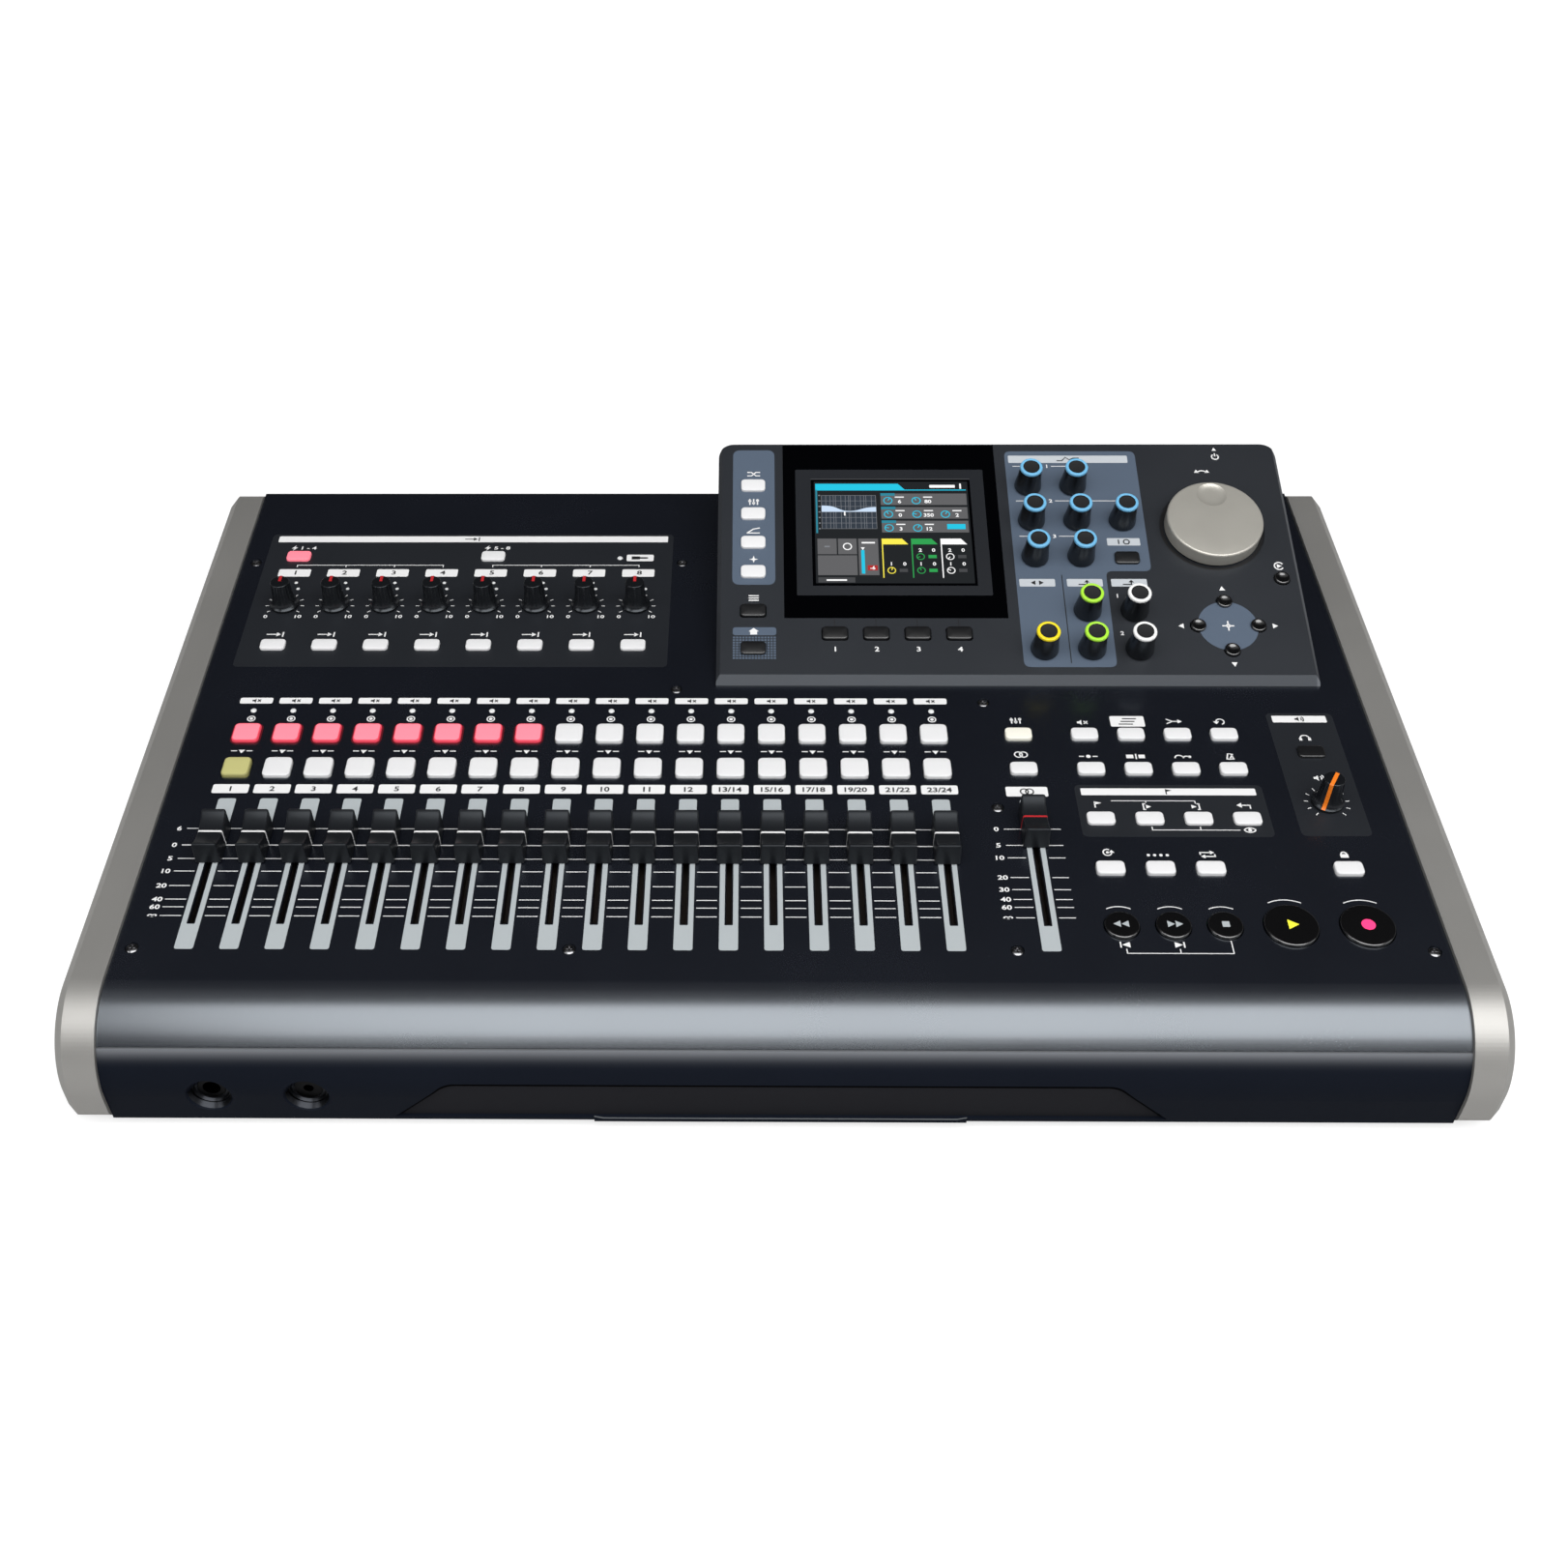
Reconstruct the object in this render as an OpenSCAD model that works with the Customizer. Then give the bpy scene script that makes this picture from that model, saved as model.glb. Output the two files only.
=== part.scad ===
// Digital multitrack recorder: sloping mixing deck between end cheeks, with a raised display console.
// Millimetres. +X right, +Y to the rear, +Z up, origin on the table under the middle of the whole recorder.
// Deck coordinates are x, s up the slope from the label row, n away from the deck.
// Console coordinates are x, v up the console's own slope from its front edge, w away from its face.

/* [Body] */
// Slope of the deck
deck_tilt = 2.7; // [1:0.1:4]
// Height of the deck plane above the table at its front edge
front_h = 47; // [44:0.5:52]
// Radius of the rolled front edge
nose_r = 29.5; // [26:0.5:31]
// Thickness of the top panel
panel_t = 2; // [1.6:0.1:2.4]
// How far below the deck plane the top panel ends and the fascia begins
seam_drop = 10; // [8:0.5:13]
// Thickness of the front fascia
fascia_t = 2.5; // [2:0.1:3]
// Thickness of an end cheek
cheek_t = 15.3; // [12:0.1:18]
// How far the cheeks stand proud of the deck
cheek_proud = 1.5; // [1:0.1:2.5]
// Bevel on the outer edge of a cheek
cheek_bevel = 3.6; // [2:0.1:5]
// Radius of a cheek's corners in side view
cheek_round = 6; // [3:0.5:9]
// Sheet thickness of the base tray and rear panel
sheet_t = 1.6; // [1.2:0.1:2]
// Height of the rubber feet
foot_h = 4.5; // [3.5:0.1:6]
// Radius of the rubber feet
foot_r = 10; // [7:0.5:12]

/* [Deck columns] */
// Panel edge to the first channel
margin_left = 24.9; // [22:0.1:28]
// Channel spacing
channel_pitch = 16.5; // [15.8:0.1:17]
// Last channel to the stereo fader
stereo_gap = 34.4; // [32:0.1:38]
// Stereo fader to the first column of function keys
function_gap = 26.8; // [25:0.1:30]
// Column spacing of the function keys
function_pitch = 18.85; // [17.5:0.05:20]
// Last column of function keys to the monitor knob
monitor_gap = 32.9; // [31:0.1:36]
// Monitor knob to the panel edge
margin_right = 27.4; // [26:0.1:31]
// Input spacing
input_pitch = 22.2; // [21:0.1:22.8]
// Spacing of the play and record buttons
play_pitch = 27.8; // [25:0.1:29]

/* [Deck rows] */
// Label row to the upper row of channel keys
rec_drop = 19.7; // [18.5:0.1:22]
// Spacing of the two rows of channel keys
row_pitch = 20.1; // [18:0.1:22]
// Lower channel keys to the fader zero mark
fader_drop = 42.5; // [40:0.1:46]
// Label row to the source keys
source_rise = 36; // [33:0.1:38]
// Source keys to the trim knobs
trim_rise = 27.6; // [26:0.1:30]
// Trim knobs to the phantom power keys
phantom_rise = 34.8; // [32:0.1:38]
// Upper edge of the console to the rear edge of the deck
margin_rear = 11.8; // [9:0.1:15]
// Lower channel keys to the locate keys
locate_drop = 27.8; // [26:0.1:30]
// Locate keys to the punch keys
punch_drop = 26; // [24:0.1:28]
// Punch keys to the transport buttons
transport_drop = 28.6; // [27:0.1:30]
// Lower channel keys to the monitor knob
monitor_drop = 18.5; // [16:0.1:20]
// Monitor knob to the key above it
monitor_key_rise = 28.2; // [26:0.1:30]
// Lower end of the fader slots to the start of the rolled edge
margin_front = 26.9; // [24:0.1:30]

/* [Faders] */
// Travel from the zero mark to the bottom
fader_down = 35.9; // [30:0.1:40]
// Travel from the zero mark to the top
fader_up = 8.8; // [6:0.1:10]
// Fader cap: width, length and height
cap_w = 9.8; // [8:0.1:11]
cap_len = 19.4; // [16:0.1:21]
cap_h = 10.3; // [8:0.1:12]
// How far the finger hollow of the cap dips
cap_dip = 2.6; // [1.5:0.1:3.5]
// Width of a fader slot
slot_w = 2.2; // [2:0.1:2.6]

/* [Keys] */
// Channel key size
pad_w = 11; // [10:0.1:12]
pad_len = 10.6; // [9.5:0.1:11.5]
// Small key size
key_w = 10.8; // [9.5:0.1:11.5]
key_len = 6.6; // [5.5:0.1:7.5]
// Corner radius of the keys
key_r = 1.3; // [0.8:0.1:1.8]
// How far keys stand out
key_h = 1.3; // [0.8:0.1:1.8]
// Travel of the keys
key_travel = 1; // [0.6:0.1:1.4]
// Radius of the small transport buttons
transport_r = 6.4; // [5.5:0.1:7.2]
// Radius of the play and record buttons
play_r = 9.9; // [8.5:0.1:10.5]
// Radius of the round console buttons
dot_r = 3.3; // [2.8:0.1:3.8]

/* [Knobs] */
// Skirt radius, top radius and height of the trim knobs
trim_r = 6.3; // [5.6:0.1:7]
trim_top_r = 4.1; // [3.6:0.1:4.4]
trim_h = 13.3; // [11:0.1:15]
// Base radius, ring radius and height of the encoder knobs
encoder_r = 6; // [5.4:0.1:6.8]
encoder_ring_r = 5; // [4.4:0.1:5.3]
encoder_h = 13.5; // [11:0.1:15]
// Radius and height of the jog wheel
jog_r = 20.9; // [18:0.1:22]
jog_h = 8; // [6:0.1:10]
// Rounded rim of the jog wheel
jog_rim = 1; // [0.6:0.1:1.6]
// Finger dimple of the jog wheel: radius, depth and distance from the middle
dimple_r = 6.8; // [5.5:0.1:7]
dimple_depth = 1.5; // [0.8:0.1:2]
dimple_rise = 13.2; // [12:0.1:13.4]
// Radius of the knob shafts
shaft_r = 3; // [2.5:0.1:3.4]

/* [Console] */
// Extra slope of the console
console_tilt = 14.2; // [11:0.1:16]
// Height of the console's front edge above the deck
console_front_h = 4.2; // [3.6:0.1:6]
// Label row to the console's front edge
console_rise = 12.6; // [11:0.1:15]
// Length of the console face
console_len = 127.3; // [125.5:0.1:129]
// Lean of the console's rear wall
console_lean = 17; // [12:0.5:20]
// Last trim knob to the console's left side
console_gap = 36.1; // [34:0.1:40]
// Wall of the console
console_t = 2.2; // [1.8:0.1:2.6]
// Console side to the column of mode keys
mode_margin = 15.6; // [14:0.1:17]
// Mode keys to the display window
window_gap = 13.4; // [12:0.1:15]
// Width of the display window
window_w = 95.4; // [90:0.1:97]
// Soft keys to the lower edge of the display window
window_clear = 5.1; // [4:0.1:7]
// Upper edge of the display window to the upper edge of the console
window_edge = 0.5; // [0.3:0.1:1.5]
// Thickness of the window glass
glass_t = 1.5; // [1:0.1:1.6]
// Screen: width and length
screen_w = 70; // [64:0.1:74]
screen_len = 58; // [54:0.1:60]
// Lower edge of the display window to the screen
screen_gap = 18.1; // [15:0.1:20]
// Front edge of the console to the home key
home_rise = 13.2; // [12:0.1:15]
// Home key to the menu key
menu_rise = 19.8; // [18:0.1:21]
// Menu key to the lowest mode key
mode_rise = 20.9; // [19:0.1:22]
// Spacing of the mode keys
mode_pitch = 16.2; // [14:0.1:17]
// Front edge of the console to the soft keys
softkey_rise = 21; // [19:0.1:23]
// Spacing of the soft keys
softkey_pitch = 17.6; // [16:0.1:19]
// Window to the first column of encoders
encoder_gap = 14; // [12:0.1:16]
// Encoder spacing
encoder_pitch = 20; // [18.5:0.1:21]
// Front edge of the console to the lowest encoders
encoder_rise = 13; // [11.5:0.1:15]
// Lowest encoders to the lowest tone encoders
tone_rise = 49.3; // [47:0.1:51]
// Front edge of the console to the tone switch
switch_rise = 61.5; // [58:0.1:64]
// Last column of encoders to the jog wheel
jog_gap = 39; // [37:0.1:42]
// Jog wheel to the console's right side
jog_margin = 34.8; // [32:0.1:38]
// Front edge of the console to the jog wheel
jog_rise = 78; // [75:0.1:82]
// Front edge of the console to the middle of the cursor buttons
cursor_rise = 25.3; // [23:0.1:28]
// Middle of the cursor buttons to each of them
cursor_r = 12.7; // [11:0.1:14]

/* [Sockets] */
// Radius of a quarter inch jack hole
jack_r = 3.25; // [3.2:0.01:3.4]
// Radius of a small jack hole
small_jack_r = 1.85; // [1.8:0.01:2]
// First channel to the phones jack
phones_offset = 12.8; // [10:0.1:16]
// Phones jack to the remote jack
remote_gap = 34.9; // [30:0.1:40]
// Height of the front jacks above the table
jack_z = 17.6; // [16.5:0.1:19]
// First channel to the first combination jack
combo_offset = 3; // [0:0.1:6]
// Spacing of the combination jacks
combo_pitch = 29; // [27:0.1:30]
// Radius of a combination jack's face
combo_r = 11.7; // [10.5:0.1:12.2]
// Last combination jack to the first line jack
line_gap = 30; // [27:0.1:33]
// Spacing of the line jacks
line_pitch = 17; // [16:0.1:18]
// Last line jack to the first phono socket
phono_gap = 19; // [18:0.1:21]
// Spacing of the phono sockets
phono_pitch = 13; // [12:0.1:14]
// Last phono socket to the first data socket
data_gap = 20; // [18:0.1:22]
// Spacing of the data sockets
data_pitch = 20; // [18.5:0.1:21]
// Last data socket to the computer port
port_gap = 19; // [17:0.1:21]
// Computer port to the power button
power_gap = 20; // [19:0.1:22]
// Power button to the power inlet
inlet_gap = 18; // [16:0.1:20]
// Underside of the case to the combination jacks
combo_rise = 26; // [24:0.1:30]
// Underside of the case to the other sockets
socket_rise = 18; // [16:0.1:20]
// Underside of the case to the power button
power_rise = 33; // [31:0.1:36]
// How far the cord hook stands behind the rear panel
hook_reach = 14.2; // [12:0.1:18]

/* [Fits] */
// Clearance round moving pieces
gap = 0.3; // [0.2:0.05:0.4]
// Clearance between fixed pieces
fit = 0.15; // [0.1:0.05:0.3]

/* [Hidden] */
$fn = 48;

// Columns, from the left edge of the panel
last_channel = 17;
last_input = 7;
function_columns = 4;
panel_w = margin_left + last_channel * channel_pitch + stereo_gap + function_gap
    + (function_columns - 1) * function_pitch + monitor_gap + margin_right;
x_channel = -panel_w / 2 + margin_left;
x_stereo = x_channel + last_channel * channel_pitch + stereo_gap;
x_function = x_stereo + function_gap;
x_function_end = x_function + (function_columns - 1) * function_pitch;
x_monitor = x_function_end + monitor_gap;
x_input_end = x_channel + last_input * input_pitch;

// Rows, from the label row
s_rec = -rec_drop;
s_select = s_rec - row_pitch;
s_fader = s_select - fader_drop;
s_source = source_rise;
s_trim = s_source + trim_rise;
s_phantom = s_trim + phantom_rise;
s_crest = console_rise + console_len * cos(console_tilt);
s_rear = s_crest + margin_rear;
s_locate = s_select - locate_drop;
s_punch = s_locate - punch_drop;
s_transport = s_punch - transport_drop;
s_monitor = s_select - monitor_drop;
s_monitor_key = s_monitor + monitor_key_rise;

// Faders
lever_w = slot_w - 4 * gap;
lever_len = 4;
slot_play = 1.5;
s_slot_low = s_fader - fader_down - lever_len / 2 - slot_play;
s_slot_high = s_fader + fader_up + lever_len / 2 + slot_play;
track_h = 7;
track_w = 8.6;
track_wall = 4;
lever_reach = 4;

// Rolled front edge: centre of the roll and the foremost line of the panel
s_nose = s_slot_low - margin_front;
s_front = s_nose - nose_r;

// Deck plane in space: the front of the cheeks and the cord hook are equally far from the origin
deck_z0 = front_h - s_front * sin(deck_tilt);
function deck_y(s, n) = s * cos(deck_tilt) - n * sin(deck_tilt);
function deck_z(s, n) = deck_z0 + s * sin(deck_tilt) + n * cos(deck_tilt);
nose_front = deck_y(s_nose, -nose_r) - nose_r - cheek_proud;
rear_edge = deck_y(s_rear, -panel_t);
deck_y0 = -(nose_front + rear_edge + hook_reach) / 2;
rear_y = deck_y0 + rear_edge;
rear_top = deck_z(s_rear, -panel_t) - 2 * sheet_t * sin(deck_tilt) - fit;
cheek_x = panel_w / 2;
cheek_rear_draft = 1.6;
floor_z = foot_h + sheet_t;
n_foot = (foot_h - deck_z0 - s_front * sin(deck_tilt)) / cos(deck_tilt);
tray_front = deck_y0 + deck_y(s_front + fascia_t, n_foot) + fit;
tray_rear = rear_y - sheet_t - fit;
seam_gap = 0.6;

// Console
x_console = x_input_end + console_gap;
x_mode = x_console + mode_margin;
x_window = x_mode + window_gap;
x_encoder = x_window + window_w + encoder_gap;
x_jog = x_encoder + 2 * encoder_pitch + jog_gap;
x_console_end = x_jog + jog_margin;
console_w = x_console_end - x_console;
x_console_mid = (x_console + x_console_end) / 2;
x_window_mid = x_window + window_w / 2;
console_bevel = 3.2;
console_foot = 0.8;
console_chamfer = 1.6;
console_corner = 7;
v_window_low = softkey_rise + key_len / 2 + window_clear;
window_len = console_len - window_edge - v_window_low;
v_window = v_window_low + window_len / 2;
v_screen = v_window_low + screen_gap + screen_len / 2;
mode_keys = 4;
v_menu = home_rise + menu_rise;
v_mode = concat([home_rise, v_menu], [for (k = [0:mode_keys - 1]) v_menu + mode_rise + k * mode_pitch]);
softkeys = 4;
x_softkey = x_window_mid - (softkeys - 1) / 2 * softkey_pitch;
v_tone = encoder_rise + tone_rise;
jog_play_offset = [26.6, -27.5];
// Height of the line in which the console's face meets its rear wall, at s_crest
n_crest = console_front_h + console_len * sin(console_tilt);
console_back = s_crest * cos(console_lean) + n_crest * sin(console_lean);
jog_recess = 0.6;
jog_recess_gap = 2;

// Encoder knobs by column and height on the face: tone controls, pan, sends and send masters
encoder_places = [
    [0, v_tone + 2 * encoder_pitch], [1, v_tone + 2 * encoder_pitch],
    [0, v_tone + encoder_pitch], [1, v_tone + encoder_pitch], [2, v_tone + encoder_pitch],
    [0, v_tone], [1, v_tone],
    [0, encoder_rise],
    [1, encoder_rise + encoder_pitch], [1, encoder_rise],
    [2, encoder_rise + encoder_pitch], [2, encoder_rise]
];

// Keys below the panel: lip, switch and board
lip_t = 1;
lip_w = 0.9;
switch_w = 6;
switch_top = panel_t + gap + lip_t + key_travel + gap;
board_t = 1.6;
board_n = -(panel_t + fit + track_h + fit);
board_sink = 0.5;
console_board_gap = 8;
console_board_w = -(console_t + console_board_gap);
knob_lift = 0.5;
shaft_depth = 5;
// Pointer of the monitor knob at rest, turned fully down
monitor_turn = 150;

// Boards and the posts that carry them
board_edge = 8;
main_board_inset = 32;
main_board_rear = 40;
deck_board_margin = 12;
post_r = 3;
post_h = 6;
post_rows = [tray_front + 3 * main_board_inset / 2, tray_rear - 2 * main_board_rear];
post_places = [for (i = [-1, 0, 1], y = post_rows) [i * (panel_w / 2 - 2 * main_board_inset), y]];
panel_post_r = 2.2;
post_clear = 8;
panel_post_places = [
    for (k = [1, 6, 11, 16], s = [(s_rec + s_select) / 2, s_slot_low - post_clear])
        [x_channel + (k - 0.5) * channel_pitch, s],
    for (k = [1, 4, 7]) [x_channel + (k - 0.5) * input_pitch, s_phantom]
];

// Opening in the deck below the console, and the seat of the screen
well_rim = 7;
screen_rim = 4;
screen_t = 5;
screen_frame_w = screen_w + 2 * screen_rim;
screen_frame_len = screen_len + 2 * screen_rim;

// Places of the keys, as x and s or x and v
pad_places = [for (k = [0:last_channel], s = [s_rec, s_select]) [x_channel + k * channel_pitch, s]];
source_places = [for (k = [0:last_input]) [x_channel + k * input_pitch, s_source]];
phantom_places = [[x_channel, s_phantom], [x_channel + 4 * input_pitch, s_phantom]];
function_places = [
    for (k = [0:function_columns - 1], s = [s_rec, s_select, s_locate]) [x_function + k * function_pitch, s],
    for (k = [0:function_columns - 2]) [x_function + k * function_pitch, s_punch],
    [x_monitor, s_punch], [x_stereo, s_rec], [x_stereo, s_select], [x_monitor, s_monitor_key]
];
deck_key_places = concat(source_places, phantom_places, function_places);
console_key_places = concat(
    [for (v = v_mode) [x_mode, v]],
    [for (k = [0:softkeys - 1]) [x_softkey + k * softkey_pitch, softkey_rise]],
    [[x_encoder + 2 * encoder_pitch, switch_rise]]
);
dot_places = concat(
    [for (a = [0:90:270]) [x_jog + cursor_r * cos(a), cursor_rise + cursor_r * sin(a)]],
    [[x_jog + jog_play_offset.x, jog_rise + jog_play_offset.y]]
);
small_transport_places = [for (k = [0:2]) [x_function + k * function_pitch, s_transport]];
play_places = [[x_monitor - play_pitch, s_transport], [x_monitor, s_transport]];
fader_columns = concat([for (k = [0:last_channel]) x_channel + k * channel_pitch], [x_stereo]);
stereo_offset = fader_up;
trim_places = [for (k = [0:last_input]) [x_channel + k * input_pitch, s_trim]];
deck_knob_places = concat(trim_places, [[x_monitor, s_monitor]]);

// Screws in the deck and under the tray
screw_r = 2.4;
screw_shank_r = 1.3;
screw_head = 1;
screw_len = 6;
edge_screw = 6;
x_screw_left = -panel_w / 2 + edge_screw;
screw_input_gap = 19.5;
screw_stereo_gap = 12.4;
screw_rear_drop = 4;
screw_front_rise = 15;
x_screw_input = x_input_end + screw_input_gap;
x_screw_stereo = x_stereo - screw_stereo_gap;
s_screw_rear = s_phantom - screw_rear_drop;
s_screw_front = s_nose + screw_front_rise;
deck_screw_places = [
    [x_screw_left, s_screw_rear], [x_screw_input, s_screw_rear], [x_screw_input, (s_source + s_rec) / 2],
    [x_screw_stereo, 0], [x_screw_stereo, (s_select + s_fader) / 2], [x_screw_left, s_screw_front],
    [x_channel + last_channel / 2 * channel_pitch, s_screw_front], [x_screw_stereo, s_screw_front],
    [panel_w / 2 - edge_screw, s_screw_front]
];
foot_inset = 26;
foot_setback = 34;
foot_places = [for (i = [-1, 1], y = [tray_front + foot_setback, tray_rear - foot_setback])
    [i * (panel_w / 2 - foot_inset), y]];
tray_screw_inset = 12;
tray_screw_places = [for (i = [-1, 1], y = [tray_front + tray_screw_inset, 0, tray_rear - tray_screw_inset])
    [i * (panel_w / 2 - tray_screw_inset), y]];

// Front jacks
jack_x = [x_channel + phones_offset, x_channel + phones_offset + remote_gap];
jack_hole_r = [jack_r, small_jack_r];
dish_r = 8;
dish_depth = 3.5;
dish_floor_r = 6;
boss_r = 10;
boss_depth = 9;
front_y = deck_y0 + deck_y(s_front, n_foot);
jack_body = [15, 24, 14];
collar_r = 5;

// Bay in the middle of the fascia
bay_top_w = 239;
bay_low_w = 278;
bay_z = 24.5;
bay_depth = 1.5;
bay_corner = 9;
lip_len = 134;

// Rear sockets along X, and their heights
combo_z = foot_h + combo_rise;
combo_x = [for (k = [0:last_input]) x_channel + combo_offset + k * combo_pitch];
combo_depth = 26;
line_x = [for (k = [0:3]) combo_x[last_input] + line_gap + k * line_pitch];
phono_x = [for (k = [0:2]) line_x[3] + phono_gap + k * phono_pitch];
data_x = [for (k = [0:1]) phono_x[2] + data_gap + k * data_pitch];
port_x = data_x[1] + port_gap;
power_x = port_x + power_gap;
inlet_x = power_x + inlet_gap;
socket_z = foot_h + socket_rise;
power_z = foot_h + power_rise;
face_proud = 1;
line_reach = 4;
power_r = 4.5;
power_travel = 1.5;
bore_depth = 22;
phono_r = 4.2;
phono_reach = 9;
data_r = 7.6;
usb_size = [12, 11];
card_size = [26, 3.4];
inlet_r = 5;

// Moves children from deck coordinates into space
module on_deck() {
    translate([0, deck_y0, deck_z0])
        rotate([deck_tilt, 0, 0])
            children();
}

// Moves children from console coordinates into space
module on_console() {
    on_deck()
        translate([0, console_rise, console_front_h])
            rotate([console_tilt, 0, 0])
                children();
}

module at_each(places) {
    for (p = places) translate([p.x, p.y, 0]) children();
}

// Extrudes a side view, drawn as depth and height, along X
module along_x(x0, x1) {
    translate([x0, 0, 0])
        rotate([90, 0, 90])
            linear_extrude(x1 - x0)
                children();
}

// Extrudes a front view, drawn as X and height, from y0 back to y1
module along_y(y0, y1) {
    translate([0, y1, 0])
        rotate([90, 0, 0])
            linear_extrude(y1 - y0)
                children();
}

module rounded(w, len, r) {
    square([w - 2 * r, len], center = true);
    square([w, len - 2 * r], center = true);
    for (i = [-1, 1], j = [-1, 1])
        translate([i * (w / 2 - r), j * (len / 2 - r)]) circle(r);
}

// Side view of the deck with its rolled front, set in by d from the panel's surface, in deck coordinates
module deck_section(d) {
    depth = 2 * front_h;
    translate([s_nose, -depth]) square([s_rear - s_nose, depth - d]);
    translate([s_nose, -nose_r]) circle(nose_r - d, $fn = 128);
    translate([s_front + d, -depth]) square([nose_r - d, depth - nose_r]);
}

module deck_section_in_space(d) {
    translate([deck_y0, deck_z0]) rotate(deck_tilt) deck_section(d);
}

// Side view of a cheek with rounded corners, set in by d
module cheek_section(d) {
    r = max(cheek_round - d, fit);
    offset(r = r)
        offset(delta = -r)
            intersection() {
                deck_section_in_space(d - cheek_proud);
                translate([deck_y0 + nose_front, foot_h + d])
                    square([rear_y - deck_y0 - nose_front - cheek_rear_draft * d, 2 * front_h]);
            }
}

module cheek() {
    skin = 0.01;
    hull() {
        along_x(cheek_x, cheek_x + cheek_t - cheek_bevel) cheek_section(0);
        along_x(cheek_x + cheek_t - skin, cheek_x + cheek_t) cheek_section(cheek_bevel);
    }
}

// A key that sticks out of a panel of thickness t, with its lip behind the panel
module key(w, len, t) {
    base = t + gap + lip_t;
    translate([0, 0, -base]) {
        linear_extrude(base + key_h) rounded(w, len, key_r);
        linear_extrude(lip_t) rounded(w + 2 * lip_w, len + 2 * lip_w, key_r);
    }
}

module key_hole(w, len) {
    linear_extrude(4 * panel_t, center = true) rounded(w + 2 * gap, len + 2 * gap, key_r + gap);
}

module round_button(r, t) {
    base = t + gap + lip_t;
    edge = 0.5;
    translate([0, 0, -base]) {
        cylinder(r = r, h = base + key_h - edge);
        translate([0, 0, base + key_h - edge]) cylinder(r1 = r, r2 = r - edge, h = edge);
        cylinder(r = r + lip_w, h = lip_t);
    }
}

module round_hole(r) {
    cylinder(r = r + gap, h = 4 * panel_t, center = true);
}

module switch_block(board, top) {
    translate([-switch_w / 2, -switch_w / 2, board - board_sink])
        cube([switch_w, switch_w, board_sink - board - top]);
}

// The shaft runs through a panel of thickness t into the control behind it
module knob_shaft(t) {
    translate([0, 0, -t - shaft_depth]) cylinder(r = shaft_r, h = t + shaft_depth + knob_lift);
}

// Flared skirt, fluted grip and raised pointer
module trim_knob() {
    steps = 6;
    flutes = 10;
    flute_r = 0.7;
    skirt = 0.9;
    crown = 0.4;
    pointer_w = 1.1;
    grip = trim_h - crown - skirt - knob_lift;
    function flare(t) = trim_top_r + (trim_r - trim_top_r) * pow(1 - t, 2.6);
    profile = concat(
        [[0, knob_lift], [trim_r, knob_lift]],
        [for (i = [0:steps]) [flare(i / steps), knob_lift + skirt + grip * i / steps]],
        [[trim_top_r - crown, trim_h], [0, trim_h]]
    );
    difference() {
        rotate_extrude() polygon(profile);
        for (i = [0:flutes - 1])
            rotate(360 * (i + 0.5) / flutes)
                translate([trim_top_r + flute_r / 2, 0, trim_h / 3]) cylinder(r = flute_r, h = trim_h);
    }
    translate([-pointer_w / 2, 0, trim_h - crown]) cube([pointer_w, trim_top_r - crown, 1.5 * crown]);
    knob_shaft(panel_t);
}

// Tapered grip under a raised ring
module encoder_knob() {
    ring_h = 1.7;
    round_edge = 0.5;
    ring_w = 1.4;
    dish = 0.5;
    taper = 0.35;
    rotate_extrude()
        polygon([
            [0, knob_lift], [encoder_r, knob_lift], [encoder_r, 2 * knob_lift],
            [encoder_ring_r - taper, encoder_h - ring_h], [encoder_ring_r, encoder_h - ring_h + taper],
            [encoder_ring_r, encoder_h - round_edge], [encoder_ring_r - round_edge, encoder_h],
            [encoder_ring_r - ring_w, encoder_h], [encoder_ring_r - ring_w - dish, encoder_h - dish],
            [0, encoder_h - dish]
        ]);
    knob_shaft(console_t);
}

module fader() {
    foot = 0.6;
    land = 0.9;
    hollow_r = (pow(cap_len / 2 - land, 2) + cap_dip * cap_dip) / (2 * cap_dip);
    along_x(-cap_w / 2, cap_w / 2)
        difference() {
            translate([-cap_len / 2, foot]) square([cap_len, cap_h - foot]);
            translate([0, cap_h - cap_dip + hollow_r]) circle(hollow_r, $fn = 96);
        }
    translate([-lever_w / 2, -lever_len / 2, -panel_t - fit - lever_reach])
        cube([lever_w, lever_len, panel_t + fit + lever_reach + foot]);
}

// Slide potentiometer under the panel, slotted for its lever
module slide_track() {
    low = s_slot_low - s_fader;
    high = s_slot_high - s_fader;
    difference() {
        translate([-track_w / 2, low - track_wall, -panel_t - fit - track_h])
            cube([track_w, high - low + 2 * track_wall, track_h]);
        translate([-slot_w / 2 - gap, low, -panel_t - fit - lever_reach - 1])
            cube([slot_w + 2 * gap, high - low, track_h]);
    }
}

// Rotary control that hangs under a panel of thickness t and stands on a board
module rotary_body(w, t, board) {
    difference() {
        translate([-w / 2, -w / 2, board]) cube([w, w, -board - t - fit]);
        translate([0, 0, board + 1]) cylinder(r = shaft_r + gap, h = -board);
    }
}

// Outside of the console, in deck coordinates, set in by d at the sides and rear
module console_block(d) {
    reach = 2 * console_len;
    s_far = 2 * s_crest - console_rise;
    intersection() {
        along_x(x_console + d, x_console_end - d)
            polygon([
                [console_rise - console_bevel, 0], [console_rise - console_bevel, console_foot],
                [console_rise, console_front_h], [s_far, 2 * n_crest - console_front_h], [s_far, 0]
            ]);
        rotate([console_lean, 0, 0])
            translate([x_console_mid, console_back - d - reach / 2, 0])
                linear_extrude(reach, center = true)
                    rounded(console_w - 2 * d, reach, console_corner - d);
    }
}

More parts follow.
